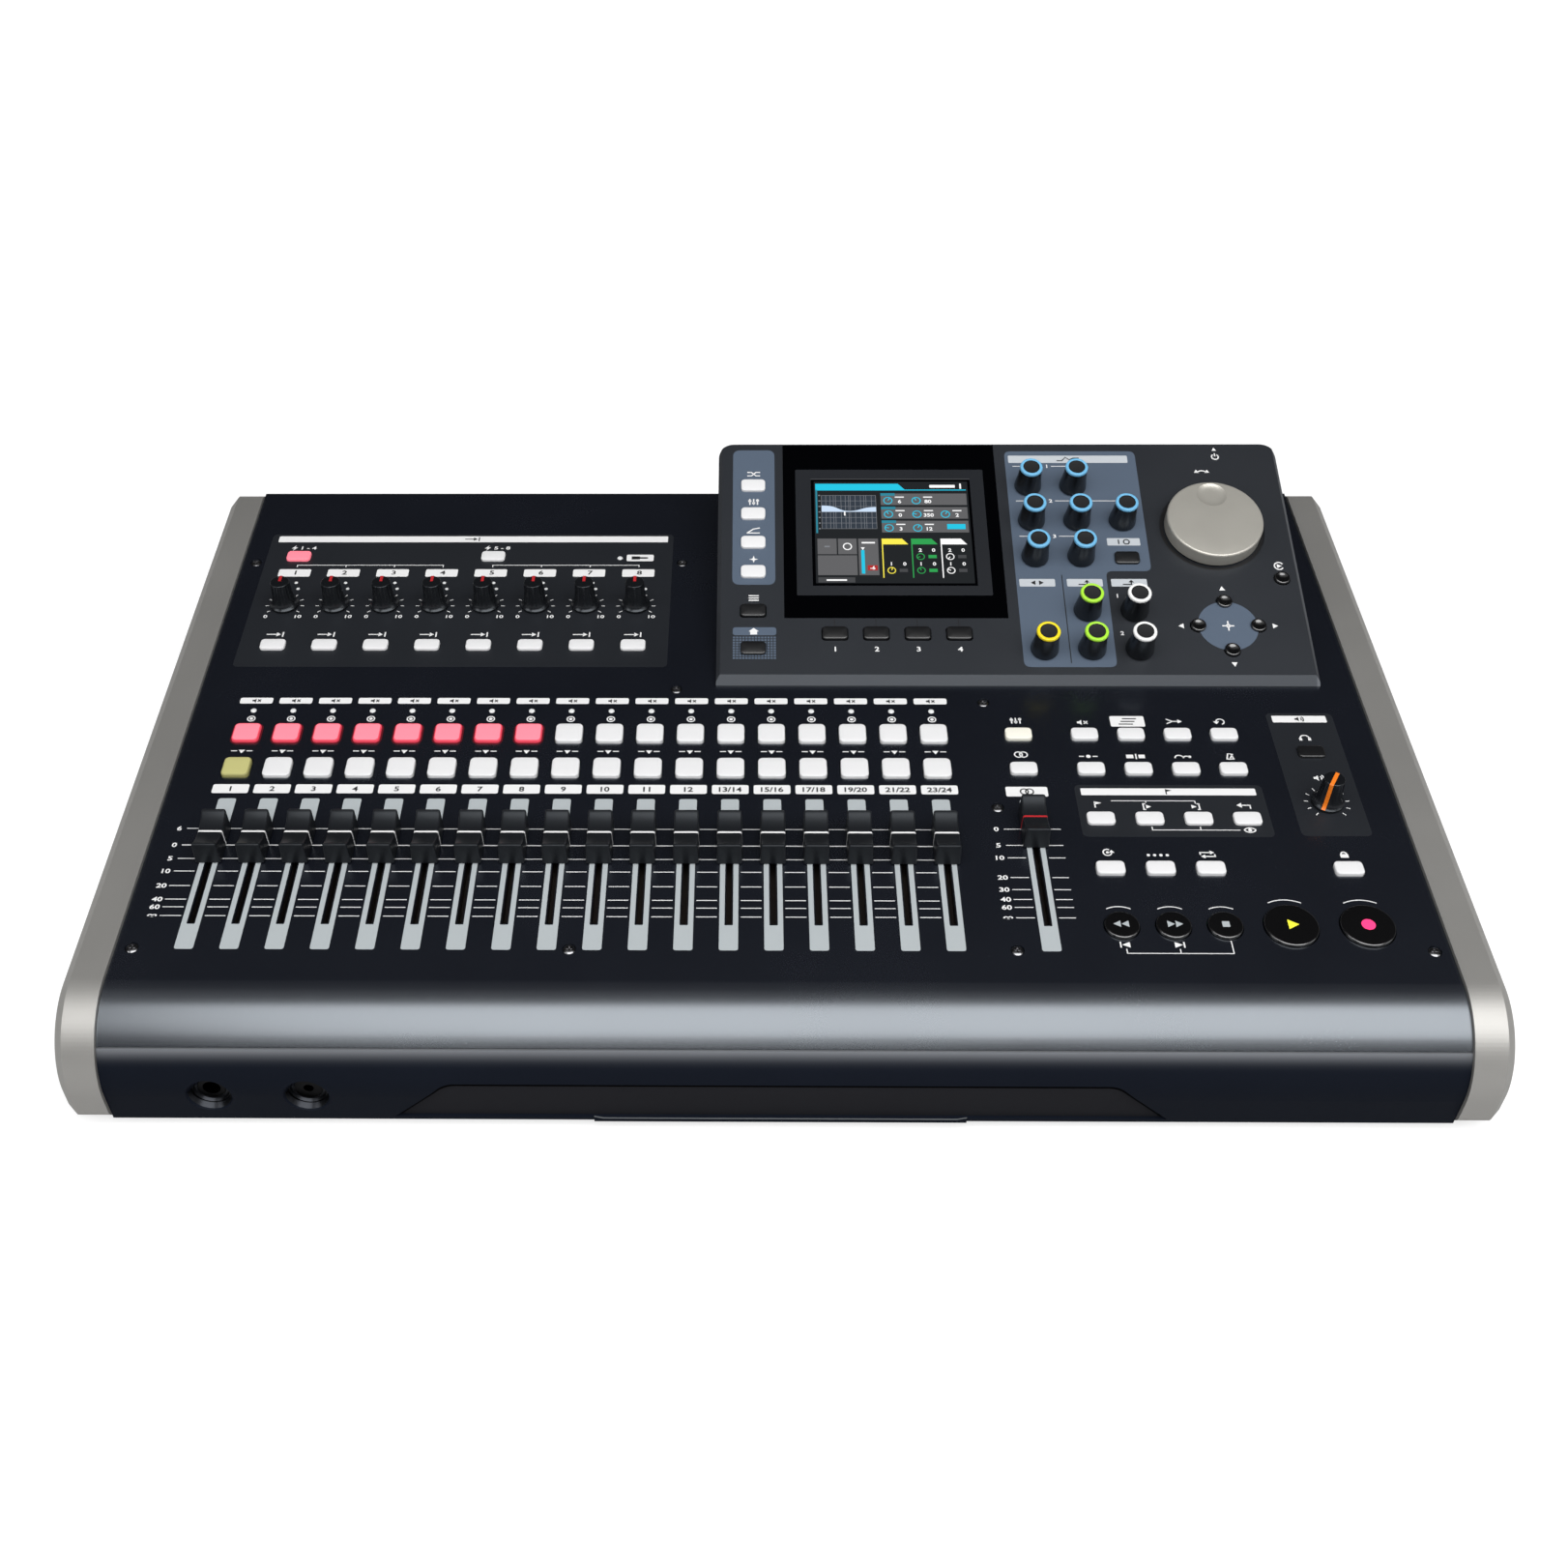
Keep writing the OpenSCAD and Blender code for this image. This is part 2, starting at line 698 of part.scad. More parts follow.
module console_side_bevel() {
    reach = 2 * console_len;
    translate([0, console_rise, console_front_h])
        rotate([console_tilt, 0, 0])
            for (i = [-1, 1])
                translate([x_console_mid + i * console_w / 2, reach / 2 - console_bevel * 2, 0])
                    rotate([0, 45, 0])
                        cube([console_chamfer * sqrt(2), reach, console_chamfer * sqrt(2)], center = true);
}

module base_tray() {
    flange_h = 14;
    width = panel_w - 2 * fit;
    color("#3a3b3e")
        difference() {
            union() {
                translate([-width / 2, tray_front, foot_h]) cube([width, tray_rear - tray_front, sheet_t]);
                for (x = [-width / 2, width / 2 - sheet_t])
                    translate([x, tray_front, foot_h]) cube([sheet_t, tray_rear - tray_front, flange_h]);
                at_each(post_places) translate([0, 0, foot_h]) cylinder(r = post_r, h = post_h + sheet_t);
            }
            at_each(tray_screw_places) cylinder(r = screw_shank_r + fit, h = 4 * foot_h);
        }
}

module rear_panel() {
    color("#2b2c30")
        difference() {
            translate([-panel_w / 2 + fit, rear_y - sheet_t, foot_h])
                cube([panel_w - 2 * fit, sheet_t, rear_top - foot_h]);
            at_rear(combo_x, combo_z) cylinder(r = combo_r + fit, h = 4 * sheet_t, center = true);
            at_rear(line_x, socket_z) cylinder(r = collar_r + fit, h = 4 * sheet_t, center = true);
            at_rear(phono_x, socket_z) cylinder(r = phono_r + fit, h = 4 * sheet_t, center = true);
            at_rear(data_x, socket_z) cylinder(r = data_r + fit, h = 4 * sheet_t, center = true);
            at_rear([inlet_x], socket_z) cylinder(r = inlet_r + fit, h = 4 * sheet_t, center = true);
            at_rear([power_x], power_z) cylinder(r = power_r + gap, h = 4 * sheet_t, center = true);
            at_rear([port_x], socket_z)
                cube([usb_size.x + 2 * fit, usb_size.y + 2 * fit, 4 * sheet_t], center = true);
            at_rear([port_x], power_z)
                cube([card_size.x + 2 * fit, card_size.y + 2 * fit, 4 * sheet_t], center = true);
        }
}

// Places children on the rear panel's outer face, with their Z pointing out of it
module at_rear(columns, z) {
    for (x = columns)
        translate([x, rear_y, z])
            rotate([-90, 0, 0])
                children();
}

module top_panel() {
    color("#1f2024")
        on_deck()
            difference() {
                union() {
                    along_x(-panel_w / 2 + fit, panel_w / 2 - fit)
                        difference() {
                            intersection() {
                                deck_section(0);
                                translate([s_front, -seam_drop]) square([s_rear - s_front, seam_drop]);
                            }
                            deck_section(panel_t);
                        }
                    at_each(panel_post_places)
                        translate([0, 0, board_n]) cylinder(r = panel_post_r, h = -board_n - panel_t / 2);
                }
                at_each(pad_places) key_hole(pad_w, pad_len);
                at_each(deck_key_places) key_hole(key_w, key_len);
                at_each(small_transport_places) round_hole(transport_r);
                at_each(play_places) round_hole(play_r);
                at_each(deck_knob_places) round_hole(shaft_r);
                for (x = fader_columns)
                    translate([x - slot_w / 2, s_slot_low, -2 * panel_t])
                        cube([slot_w, s_slot_high - s_slot_low, 4 * panel_t]);
                at_each(deck_screw_places) {
                    cylinder(r = screw_shank_r + fit, h = 4 * panel_t, center = true);
                    translate([0, 0, -screw_head]) cylinder(r = screw_r + fit, h = panel_t);
                }
                translate([x_console + well_rim, console_rise + well_rim, -2 * panel_t])
                    cube([console_w - 2 * well_rim, s_rear - console_rise - 3 * well_rim, 4 * panel_t]);
            }
}

module left_cheek() {
    color("#96948e") mirror([1, 0, 0]) cheek();
}

module right_cheek() {
    color("#96948e") cheek();
}

// Front view of the bay: slanted ends that run into its top edge by arcs
module bay_outline() {
    low = foot_h + bay_depth;
    slant = atan2(bay_z - low, (bay_low_w - bay_top_w) / 2);
    cut = bay_corner * tan(slant / 2);
    arc_end = [bay_top_w / 2 + cut * cos(slant), bay_z - cut * sin(slant)];
    polygon([
        [-bay_low_w / 2, low], [bay_low_w / 2, low], arc_end, [bay_top_w / 2 - cut, bay_z],
        [cut - bay_top_w / 2, bay_z], [-arc_end.x, arc_end.y]
    ]);
    for (i = [-1, 1]) translate([i * (bay_top_w / 2 - cut), bay_z - bay_corner]) circle(bay_corner);
}

module front_fascia() {
    width = panel_w - 2 * fit;
    color("#1b1e26")
        difference() {
            union() {
                along_x(-width / 2, width / 2)
                    intersection() {
                        difference() {
                            deck_section_in_space(0);
                            deck_section_in_space(fascia_t);
                        }
                        translate([deck_y0, deck_z0]) rotate(deck_tilt)
                            translate([s_front, -2 * front_h])
                                square([2 * nose_r, 2 * front_h - seam_drop - seam_gap]);
                        translate([deck_y0 + nose_front, foot_h]) square([2 * nose_r, front_h]);
                    }
                for (x = jack_x)
                    translate([x, front_y + fascia_t, jack_z])
                        rotate([-90, 0, 0]) cylinder(r = boss_r, h = boss_depth - fascia_t);
                translate([-lip_len / 2, front_y - bay_depth / 2, foot_h])
                    cube([lip_len, fascia_t, bay_depth]);
            }
            for (k = [0, 1])
                translate([jack_x[k], front_y, jack_z])
                    rotate([-90, 0, 0]) {
                        translate([0, 0, -dish_depth])
                            cylinder(r1 = 2 * dish_r - dish_floor_r, r2 = dish_floor_r, h = 2 * dish_depth);
                        cylinder(r = collar_r + fit, h = 2 * boss_depth);
                    }
            intersection() {
                along_y(front_y - nose_r, front_y + nose_r) bay_outline();
                along_x(-bay_low_w, bay_low_w)
                    difference() {
                        deck_section_in_space(-bay_depth);
                        deck_section_in_space(bay_depth);
                    }
            }
        }
}

module display_housing() {
    color("#323337")
        difference() {
            on_deck()
                difference() {
                    console_block(0);
                    console_side_bevel();
                    difference() {
                        translate([0, 0, -1])
                            intersection() {
                                console_block(console_t);
                                translate([x_console, console_rise + console_t, 0])
                                    cube([console_w, 2 * console_len, console_len]);
                            }
                        translate([x_console, console_rise, console_front_h])
                            rotate([console_tilt, 0, 0])
                                translate([0, -console_len, -console_t])
                                    cube([console_w, 4 * console_len, 4 * console_t]);
                    }
                }
            on_console() {
                at_each(console_key_places) key_hole(key_w, key_len);
                at_each(dot_places) round_hole(dot_r);
                for (p = encoder_places)
                    translate([x_encoder + p.x * encoder_pitch, p.y, 0]) round_hole(shaft_r);
                translate([x_jog, jog_rise, 0]) {
                    round_hole(shaft_r);
                    translate([0, 0, -jog_recess]) cylinder(r = jog_r + jog_recess_gap, h = 4 * jog_recess);
                }
                translate([x_window_mid, v_window, -glass_t])
                    linear_extrude(4 * glass_t)
                        square([window_w + 2 * fit, window_len + 2 * fit], center = true);
                translate([x_window_mid, v_screen, 0])
                    cube([screen_frame_w, screen_frame_len, 4 * console_t], center = true);
            }
        }
}

module display_window() {
    color("#08080a")
        on_console()
            translate([x_window_mid, v_window, -glass_t])
                linear_extrude(glass_t) square([window_w, window_len], center = true);
}

module screen_module() {
    color("#20343c")
        on_console()
            translate([x_window_mid, v_screen, -glass_t - fit - screen_t])
                linear_extrude(screen_t)
                    square([screen_frame_w - 2 * fit, screen_frame_len - 2 * fit], center = true);
}

module circuit_boards() {
    main_board_len = tray_rear - tray_front - main_board_inset - main_board_rear;
    color("#1f5a36") {
        translate([-panel_w / 2 + main_board_inset, tray_front + main_board_inset, floor_z + post_h])
            cube([panel_w - 2 * main_board_inset, main_board_len, board_t]);
        on_deck() {
            translate([-panel_w / 2 + board_edge, s_slot_low - deck_board_margin, board_n - board_t])
                cube([panel_w - 2 * board_edge, -s_slot_low + deck_board_margin + board_edge, board_t]);
            translate([-panel_w / 2 + board_edge, 0, board_n - board_t])
                cube([x_console + panel_w / 2 - 3 * board_edge, s_phantom + board_edge, board_t]);
            at_each(concat(pad_places, deck_key_places, small_transport_places, play_places))
                switch_block(board_n, switch_top);
        }
        on_console() {
            translate([x_console + board_edge, board_edge, console_board_w - board_t])
                cube([console_w - 2 * board_edge, console_len - 3 * board_edge, board_t]);
            at_each(concat(console_key_places, dot_places))
                switch_block(console_board_w, switch_top + console_t - panel_t);
        }
    }
}

module pots_and_encoders() {
    pot_w = 10;
    encoder_w = 11;
    jog_encoder_w = 16;
    color("#8a8d90") {
        on_deck() {
            for (x = fader_columns) translate([x, s_fader, 0]) slide_track();
            at_each(deck_knob_places) rotary_body(pot_w, panel_t, board_n);
        }
        on_console() {
            for (p = encoder_places)
                translate([x_encoder + p.x * encoder_pitch, p.y, 0])
                    rotary_body(encoder_w, console_t, console_board_w);
            translate([x_jog, jog_rise, 0]) rotary_body(jog_encoder_w, console_t, console_board_w);
        }
    }
}

// Combination jack: round face with a quarter inch hole and three pin holes
module combo_jack() {
    body_w = 24;
    pin_circle = 7;
    pin_r = 1.4;
    difference() {
        union() {
            translate([0, 0, -sheet_t - fit]) cylinder(r = combo_r, h = sheet_t + fit + face_proud);
            translate([-body_w / 2, -body_w / 2, -sheet_t - fit - combo_depth])
                cube([body_w, body_w, combo_depth]);
        }
        translate([0, 0, face_proud - bore_depth]) cylinder(r = jack_r, h = bore_depth + 1);
        for (a = [90, 210, 330])
            rotate(a) translate([pin_circle, 0, -bore_depth / 2]) cylinder(r = pin_r, h = bore_depth);
    }
}

// Line jack: threaded collar with a hexagon nut, in front of its body
module line_jack() {
    nut_r = 7;
    nut_h = 2;
    difference() {
        union() {
            translate([0, 0, -sheet_t - fit]) cylinder(r = collar_r, h = sheet_t + fit + line_reach);
            cylinder(r = nut_r, h = nut_h, $fn = 6);
            translate([-jack_body.x / 2, -jack_body.z / 2, -sheet_t - fit - jack_body.y])
                cube([jack_body.x, jack_body.z, jack_body.y]);
        }
        translate([0, 0, line_reach - bore_depth]) cylinder(r = jack_r, h = bore_depth + 1);
    }
}

module phono_socket() {
    rim = 0.8;
    groove = 1;
    body = 11;
    pin_r = 1.6;
    difference() {
        union() {
            translate([0, 0, -sheet_t - fit]) cylinder(r = phono_r, h = sheet_t + fit + phono_reach);
            translate([-body / 2, -body / 2, -sheet_t - fit - body]) cube(body);
        }
        translate([0, 0, phono_reach - groove]) difference() {
            cylinder(r = phono_r - rim, h = 2 * groove);
            cylinder(r = phono_r - 2 * rim, h = 4 * groove, center = true);
        }
        cylinder(r = pin_r, h = 2 * phono_reach);
    }
}

module data_socket() {
    rim = 0.9;
    body = [17, 18, 14];
    pin_r = 0.7;
    depth = 6;
    difference() {
        union() {
            translate([0, 0, -sheet_t - fit]) cylinder(r = data_r, h = sheet_t + fit);
            translate([-body.x / 2, -body.y / 2, -sheet_t - fit - body.z]) cube(body);
        }
        translate([0, 0, -depth]) difference() {
            cylinder(r = data_r - rim, h = 2 * depth);
            cylinder(r = data_r - 2.4 * rim, h = 5 * depth, center = true);
        }
        for (a = [0:45:180])
            rotate(a) translate([data_r / 2, 0, -depth]) cylinder(r = pin_r, h = 2 * depth);
    }
}

// Square computer socket over a flat card slot
module port_sockets() {
    shell = 0.8;
    tongue = [5.6, 3.2];
    depth = 16;
    difference() {
        translate([-usb_size.x / 2, -usb_size.y / 2, -depth]) cube([usb_size.x, usb_size.y, depth]);
        translate([0, 0, -depth / 2 + 1])
            linear_extrude(depth) difference() {
                square(usb_size - [2 * shell, 2 * shell], center = true);
                square(tongue, center = true);
            }
    }
}

module card_slot() {
    depth = 30;
    mouth = [24.4, 2.2];
    difference() {
        translate([-card_size.x / 2, -card_size.y / 2, -depth]) cube([card_size.x, card_size.y, depth]);
        translate([-mouth.x / 2, -mouth.y / 2, 2 - depth]) cube([mouth.x, mouth.y, depth]);
    }
}

module power_inlet() {
    body = 12;
    barrel_r = 3.1;
    pin_r = 1.05;
    depth = 9;
    difference() {
        union() {
            translate([0, 0, -sheet_t - fit]) cylinder(r = inlet_r, h = sheet_t + fit + face_proud / 2);
            translate([-body / 2, -body / 2, -sheet_t - fit - body]) cube(body);
        }
        translate([0, 0, -depth]) difference() {
            cylinder(r = barrel_r, h = 2 * depth);
            translate([0, 0, -1]) cylinder(r = pin_r, h = depth);
        }
    }
}

// Hook that keeps the adaptor lead from pulling out
module cord_hook() {
    w = 6;
    t = 3;
    base_h = 12;
    tip_h = 9;
    translate([-w / 2, 0, 0])
        mirror([0, 1, 0])
            rotate([90, 0, 90])
                linear_extrude(w)
                    polygon([
                        [0, 0], [base_h, 0], [base_h, t], [t, t],
                        [t, hook_reach - t], [tip_h, hook_reach - t], [tip_h, hook_reach], [0, hook_reach]
                    ]);
}

module front_jack(hole_r) {
    difference() {
        union() {
            cylinder(r = collar_r, h = boss_depth - dish_depth + fit);
            translate([-jack_body.x / 2, -jack_body.z / 2, boss_depth - dish_depth + fit])
                cube([jack_body.x, jack_body.z, jack_body.y]);
        }
        translate([0, 0, -1]) cylinder(r = hole_r, h = bore_depth + 1);
    }
}

module sockets() {
    color("#26272a") {
        at_rear(combo_x, combo_z) combo_jack();
        at_rear(line_x, socket_z) line_jack();
        at_rear(phono_x, socket_z) phono_socket();
        at_rear(data_x, socket_z) data_socket();
        at_rear([port_x], socket_z) port_sockets();
        at_rear([port_x], power_z) card_slot();
        at_rear([inlet_x], socket_z) power_inlet();
        at_rear([inlet_x], power_z) cord_hook();
        for (k = [0, 1])
            translate([jack_x[k], front_y + dish_depth, jack_z])
                rotate([-90, 0, 0]) front_jack(jack_hole_r[k]);
    }
}

module rubber_feet() {
    rim = 1;
    color("#161616")
        at_each(foot_places) {
            cylinder(r1 = foot_r - rim, r2 = foot_r, h = rim);
            translate([0, 0, rim]) cylinder(r = foot_r, h = foot_h - rim);
        }
}

// Pan head with a cross recess, head at the origin and shank downwards
module screw() {
    cross = [2 * screw_r - 1.6, 0.8];
    difference() {
        union() {
            cylinder(r = screw_r, h = screw_head - fit);
            translate([0, 0, -screw_len]) cylinder(r = screw_shank_r, h = screw_len + fit);
        }
        for (a = [0, 90])
            rotate(a)
                translate([-cross.x / 2, -cross.y / 2, screw_head / 2]) cube([cross.x, cross.y, screw_head]);
    }
}

module screws() {
    color("#0e0e10") {
        on_deck() at_each(deck_screw_places) translate([0, 0, -screw_head]) screw();
        at_each(tray_screw_places) translate([0, 0, foot_h]) mirror([0, 0, 1]) screw();
    }
}

module channel_keys() {
    color("#f2f2f0") on_deck() at_each(pad_places) key(pad_w, pad_len, panel_t);
}

module deck_keys() {
    color("#f2f2f0") on_deck() at_each(deck_key_places) key(key_w, key_len, panel_t);
}

module console_keys() {
    color("#f2f2f0")
        on_console() {
            at_each(console_key_places) key(key_w, key_len, console_t);
            at_each(dot_places) round_button(dot_r, console_t);
        }
}

module transport_buttons() {
    color("#0c0c0e")
        on_deck() {
            at_each(small_transport_places) round_button(transport_r, panel_t);
            at_each(play_places) round_button(play_r, panel_t);
        }
}

module power_button() {
    proud = 3;
    base = sheet_t + gap + lip_t;
    color("#0c0c0e")
        at_rear([power_x], power_z) {
            translate([0, 0, -base]) cylinder(r = power_r + lip_w, h = lip_t);
            translate([0, 0, -base]) cylinder(r = power_r, h = base + proud);
        }
}

module deck_fader(column) {
    lift = column == last_channel + 1 ? stereo_offset : 0;
    color("#1a1b1e") on_deck() translate([fader_columns[column], s_fader + lift, 0]) fader();
}

module deck_knob(k) {
    turn = k > last_input ? monitor_turn : 0;
    color("#141416")
        on_deck()
            translate([deck_knob_places[k].x, deck_knob_places[k].y, 0])
                rotate(turn) trim_knob();
}

module console_encoder(k) {
    p = encoder_places[k];
    color("#17181b") on_console() translate([x_encoder + p.x * encoder_pitch, p.y, 0]) encoder_knob();
}

// Turned wheel with a rounded rim, a finger dimple and a shaft
module jog_wheel() {
    ball_r = (dimple_r * dimple_r + dimple_depth * dimple_depth) / (2 * dimple_depth);
    rim_h = jog_h - jog_rim;
    color("#b3afa6")
        on_console()
            translate([x_jog, jog_rise, 0]) {
                difference() {
                    rotate_extrude($fn = 96) {
                        translate([0, knob_lift]) square([jog_r, rim_h - knob_lift]);
                        translate([0, knob_lift]) square([jog_r - jog_rim, jog_h - knob_lift]);
                        intersection() {
                            translate([jog_r - jog_rim, rim_h]) circle(jog_rim);
                            translate([0, knob_lift]) square([jog_r, jog_h]);
                        }
                    }
                    translate([0, dimple_rise, jog_h - dimple_depth + ball_r]) sphere(ball_r, $fn = 96);
                }
                knob_shaft(console_t);
            }
}

base_tray();
rear_panel();
top_panel();
left_cheek();
right_cheek();
front_fascia();
display_housing();
display_window();
screen_module();
circuit_boards();
pots_and_encoders();
sockets();
rubber_feet();
screws();
channel_keys();
deck_keys();
console_keys();
transport_buttons();
power_button();
for (k = [0:last_channel]) deck_fader(k);
deck_fader(last_channel + 1);  // stereo_fader
for (k = [0:last_input]) deck_knob(k);
deck_knob(last_input + 1);  // monitor_knob
for (k = [0:11]) console_encoder(k);
jog_wheel();
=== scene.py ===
import math

import bpy
import numpy as np
from mathutils import Matrix, Vector


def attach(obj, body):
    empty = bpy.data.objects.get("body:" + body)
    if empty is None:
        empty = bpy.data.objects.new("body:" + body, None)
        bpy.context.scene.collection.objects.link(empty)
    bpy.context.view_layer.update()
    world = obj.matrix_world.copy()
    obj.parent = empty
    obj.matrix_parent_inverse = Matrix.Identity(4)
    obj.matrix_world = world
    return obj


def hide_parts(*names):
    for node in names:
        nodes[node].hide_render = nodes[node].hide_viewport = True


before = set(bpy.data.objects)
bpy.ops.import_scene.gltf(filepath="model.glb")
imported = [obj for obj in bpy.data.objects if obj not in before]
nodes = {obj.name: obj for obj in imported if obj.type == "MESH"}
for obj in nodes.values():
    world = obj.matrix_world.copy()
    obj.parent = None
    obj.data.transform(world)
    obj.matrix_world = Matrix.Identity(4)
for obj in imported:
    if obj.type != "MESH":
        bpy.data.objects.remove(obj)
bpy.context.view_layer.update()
print("frame loaded,", len(nodes), "nodes")

# Places are in millimetres: x from channel 1, s up the deck from the label row, n off the deck,
# and on the console v up its own slope and w off its face.
deck = {"tilt": math.radians(2.7), "x": -216.825, "y": 8.0524, "z": 55.3897}
console = {"tilt": math.radians(14.2), "rise": 12.6, "lift": 4.2}
roll = {"s": -148.6, "r": 29.5, "passes": 4}              # centre line and radius of the rolled front
mm = 0.001


# Deck coordinates to metres in the recorder's frame: a slide along x, a turn about X by the deck's slope.
def onDeck(x, s, n=0.0):
    x, s, n = np.broadcast_arrays(*(np.asarray(q, float) for q in (x, s, n)))
    c, q = math.cos(deck["tilt"]), math.sin(deck["tilt"])
    return np.stack([deck["x"] + x, deck["y"] + s * c - n * q, deck["z"] + s * q + n * c], -1) * mm


# Console coordinates: a second turn about X at the console's front edge, then the deck's own.
def onConsole(x, v, w=0.0):
    c, q = math.cos(console["tilt"]), math.sin(console["tilt"])
    v, w = np.asarray(v, float), np.asarray(w, float)
    return onDeck(x, console["rise"] + v * c - w * q, console["lift"] + v * q + w * c)


# Place on the front fascia by x and height: a flat face below the roll's centre, the roll's circle above it.
# The deck's slope makes s and n depend on each other, so they are worked out in a few passes.
def onFascia(x, z, lift=0.0):
    x, z, lift = np.broadcast_arrays(*(np.asarray(q, float) for q in (x, z, lift)))
    r = roll["r"] + lift
    s = np.full(z.shape, roll["s"] - roll["r"])
    for _ in range(roll["passes"]):
        n = (z - deck["z"] - s * math.sin(deck["tilt"])) / math.cos(deck["tilt"])
        s = roll["s"] - np.sqrt(r ** 2 - np.clip(n + roll["r"], 0, roll["r"]) ** 2)
    return onDeck(x - deck["x"], s, n)


# A shape is its points and sets of faces, each set with a material number for every face.
def shapeOf(points, *faceSets):
    sets = [(np.asarray(f), np.broadcast_to(np.asarray(t), len(f)).copy()) for f, t in faceSets if len(f)]
    return {"points": np.asarray(points, float), "sets": sets}


# One shape set down at many places, with the copies' own numbers added to its faces' material numbers.
def repeated(shape, places, tags=None):
    places = np.asarray(places, float)
    if places.shape[1] == 2:
        places = np.pad(places, ((0, 0), (0, 1)))
    count, size = len(places), len(shape["points"])
    points = (shape["points"][None] + places[:, None]).reshape(-1, 3)
    step = np.arange(count) * size
    sets = []
    for faces, tag in shape["sets"]:
        moved = (faces[None] + step[:, None, None]).reshape(-1, faces.shape[1])
        sets.append((moved, np.tile(tag, count) + (0 if tags is None else np.repeat(tags, len(faces)))))
    return {"points": points, "sets": sets}


# Many shapes as one.
def joined(shapes):
    starts = np.cumsum([0] + [len(shape["points"]) for shape in shapes])
    sets = [(faces + start, tag) for shape, start in zip(shapes, starts) for faces, tag in shape["sets"]]
    return {"points": np.concatenate([shape["points"] for shape in shapes]), "sets": sets}


def placed(shape, where):
    return {"points": where(*shape["points"].T), "sets": shape["sets"]}


def shift(shape, x, s, n=0.0):
    return {"points": shape["points"] + np.array([x, s, n]), "sets": shape["sets"]}


# Places in a row: many x at one s.
def rowOf(xs, s):
    return np.stack([xs, np.full(len(xs), s)], -1)


# Quads between the rings of a grid, rings counted first.
def gridQuads(rings, around, closed=True):
    i, j = np.meshgrid(np.arange(rings - 1), np.arange(around if closed else around - 1), indexing="ij")
    a = i * around + j
    b = i * around + (j + 1) % around
    return np.stack([a, b, b + around, a + around], -1).reshape(-1, 4)


# Rings of points joined by quads, and the last ring closed by a fan to a tip.
# Each band between two rings has its material number.
def ringShape(rings, tip, tags=0):
    count, around = rings.shape[:2]
    bands = np.broadcast_to(np.asarray(tags), count - 1)
    j = np.arange(around)
    last = (count - 1) * around
    fan = np.stack([last + j, last + (j + 1) % around, np.full(around, count * around)], -1)
    return shapeOf(np.vstack([rings.reshape(-1, 3), [tip]]),
                   (gridQuads(count, around), np.repeat(bands, around)), (fan, bands[-1]))


# Points of a circle's arc about x, y from one angle to another, in degrees.
def curveOf(x, y, r, a0, a1, m=14):
    a = np.radians(np.linspace(a0, a1, m))
    return np.stack([x + r * np.cos(a), y + r * np.sin(a)], -1)


# Rounded rectangle: four quarter circles about the corners' centres, anticlockwise.
def roundedOutline(w, l, r, m=5):
    a = (np.arange(4)[:, None] * math.pi / 2 + np.linspace(0, math.pi / 2, m)[None]).ravel()
    cx = np.repeat([1, -1, -1, 1], m) * (w / 2 - r)
    cy = np.repeat([1, 1, -1, -1], m) * (l / 2 - r)
    return np.stack([cx + r * np.cos(a), cy + r * np.sin(a)], -1)


# Polygon with each corner swapped for a quadratic curve that starts and ends r away from it.
def softPolygon(points, r, m=5):
    p = np.asarray(points, float)
    back, ahead = np.roll(p, 1, 0) - p, np.roll(p, -1, 0) - p
    a = p + back / np.linalg.norm(back, axis=1, keepdims=True) * r
    b = p + ahead / np.linalg.norm(ahead, axis=1, keepdims=True) * r
    t = np.linspace(0, 1, m)[None, :, None]
    return ((1 - t) ** 2 * a[:, None] + 2 * t * (1 - t) * p[:, None] + t ** 2 * b[:, None]).reshape(-1, 2)


# Pillow over a rounded rectangle: each profile step is an inset from the outline and a height.
def pillow(w, l, r, profile, tags=0):
    inset, height = np.asarray(profile, float).T
    flat = np.stack([roundedOutline(w - 2 * d, l - 2 * d, max(r - d, 0.1)) for d in inset])
    tall = np.broadcast_to(height[:, None, None], flat.shape[:2] + (1,))
    return ringShape(np.concatenate([flat, tall], -1), (0, 0, height[-1]), tags)


# Turned form: the profile carried round the axis, its radius scaled by ripple(angle, height).
def turned(profile, around, tags=0, ripple=None):
    r, z = np.asarray(profile, float).T
    a = np.linspace(0, 2 * math.pi, around, endpoint=False)
    wide = np.broadcast_to(r[:, None], (len(r), around))
    if ripple is not None:
        wide = wide * ripple(a[None, :], z[:, None])
    tall = np.broadcast_to(z[:, None], wide.shape)
    return ringShape(np.stack([wide * np.cos(a), wide * np.sin(a), tall], -1), (0, 0, z[-1]), tags)


# Quarter circle from a side up to a top, as insets and drops that shrink from the radius to nothing.
def quarterRound(r, m=5):
    a = np.linspace(0, math.pi / 2, m)
    return r * (1 - np.cos(a)), r * (1 - np.sin(a))


# Flat points at one height.
def level(points, lift):
    return np.column_stack([points, np.full(len(points), lift)])


# Flat print: one face over an outline, lifted off its panel.
def plate(outline, lift, tag):
    return shapeOf(level(np.asarray(outline, float), lift), (np.arange(len(outline))[None], tag))


# Sides of a rectangle of width w and length l about a point.
def about(x, s, w, l):
    return x - w / 2, x + w / 2, s - l / 2, s + l / 2


# Flat bar by its sides, with round corners where r is given.
def bar(x0, x1, s0, s1, lift, tag, r=0.0):
    if r:
        outline = roundedOutline(x1 - x0, s1 - s0, r) + [(x0 + x1) / 2, (s0 + s1) / 2]
        return plate(outline, lift, tag)
    return plate([(x0, s0), (x1, s0), (x1, s1), (x0, s1)], lift, tag)


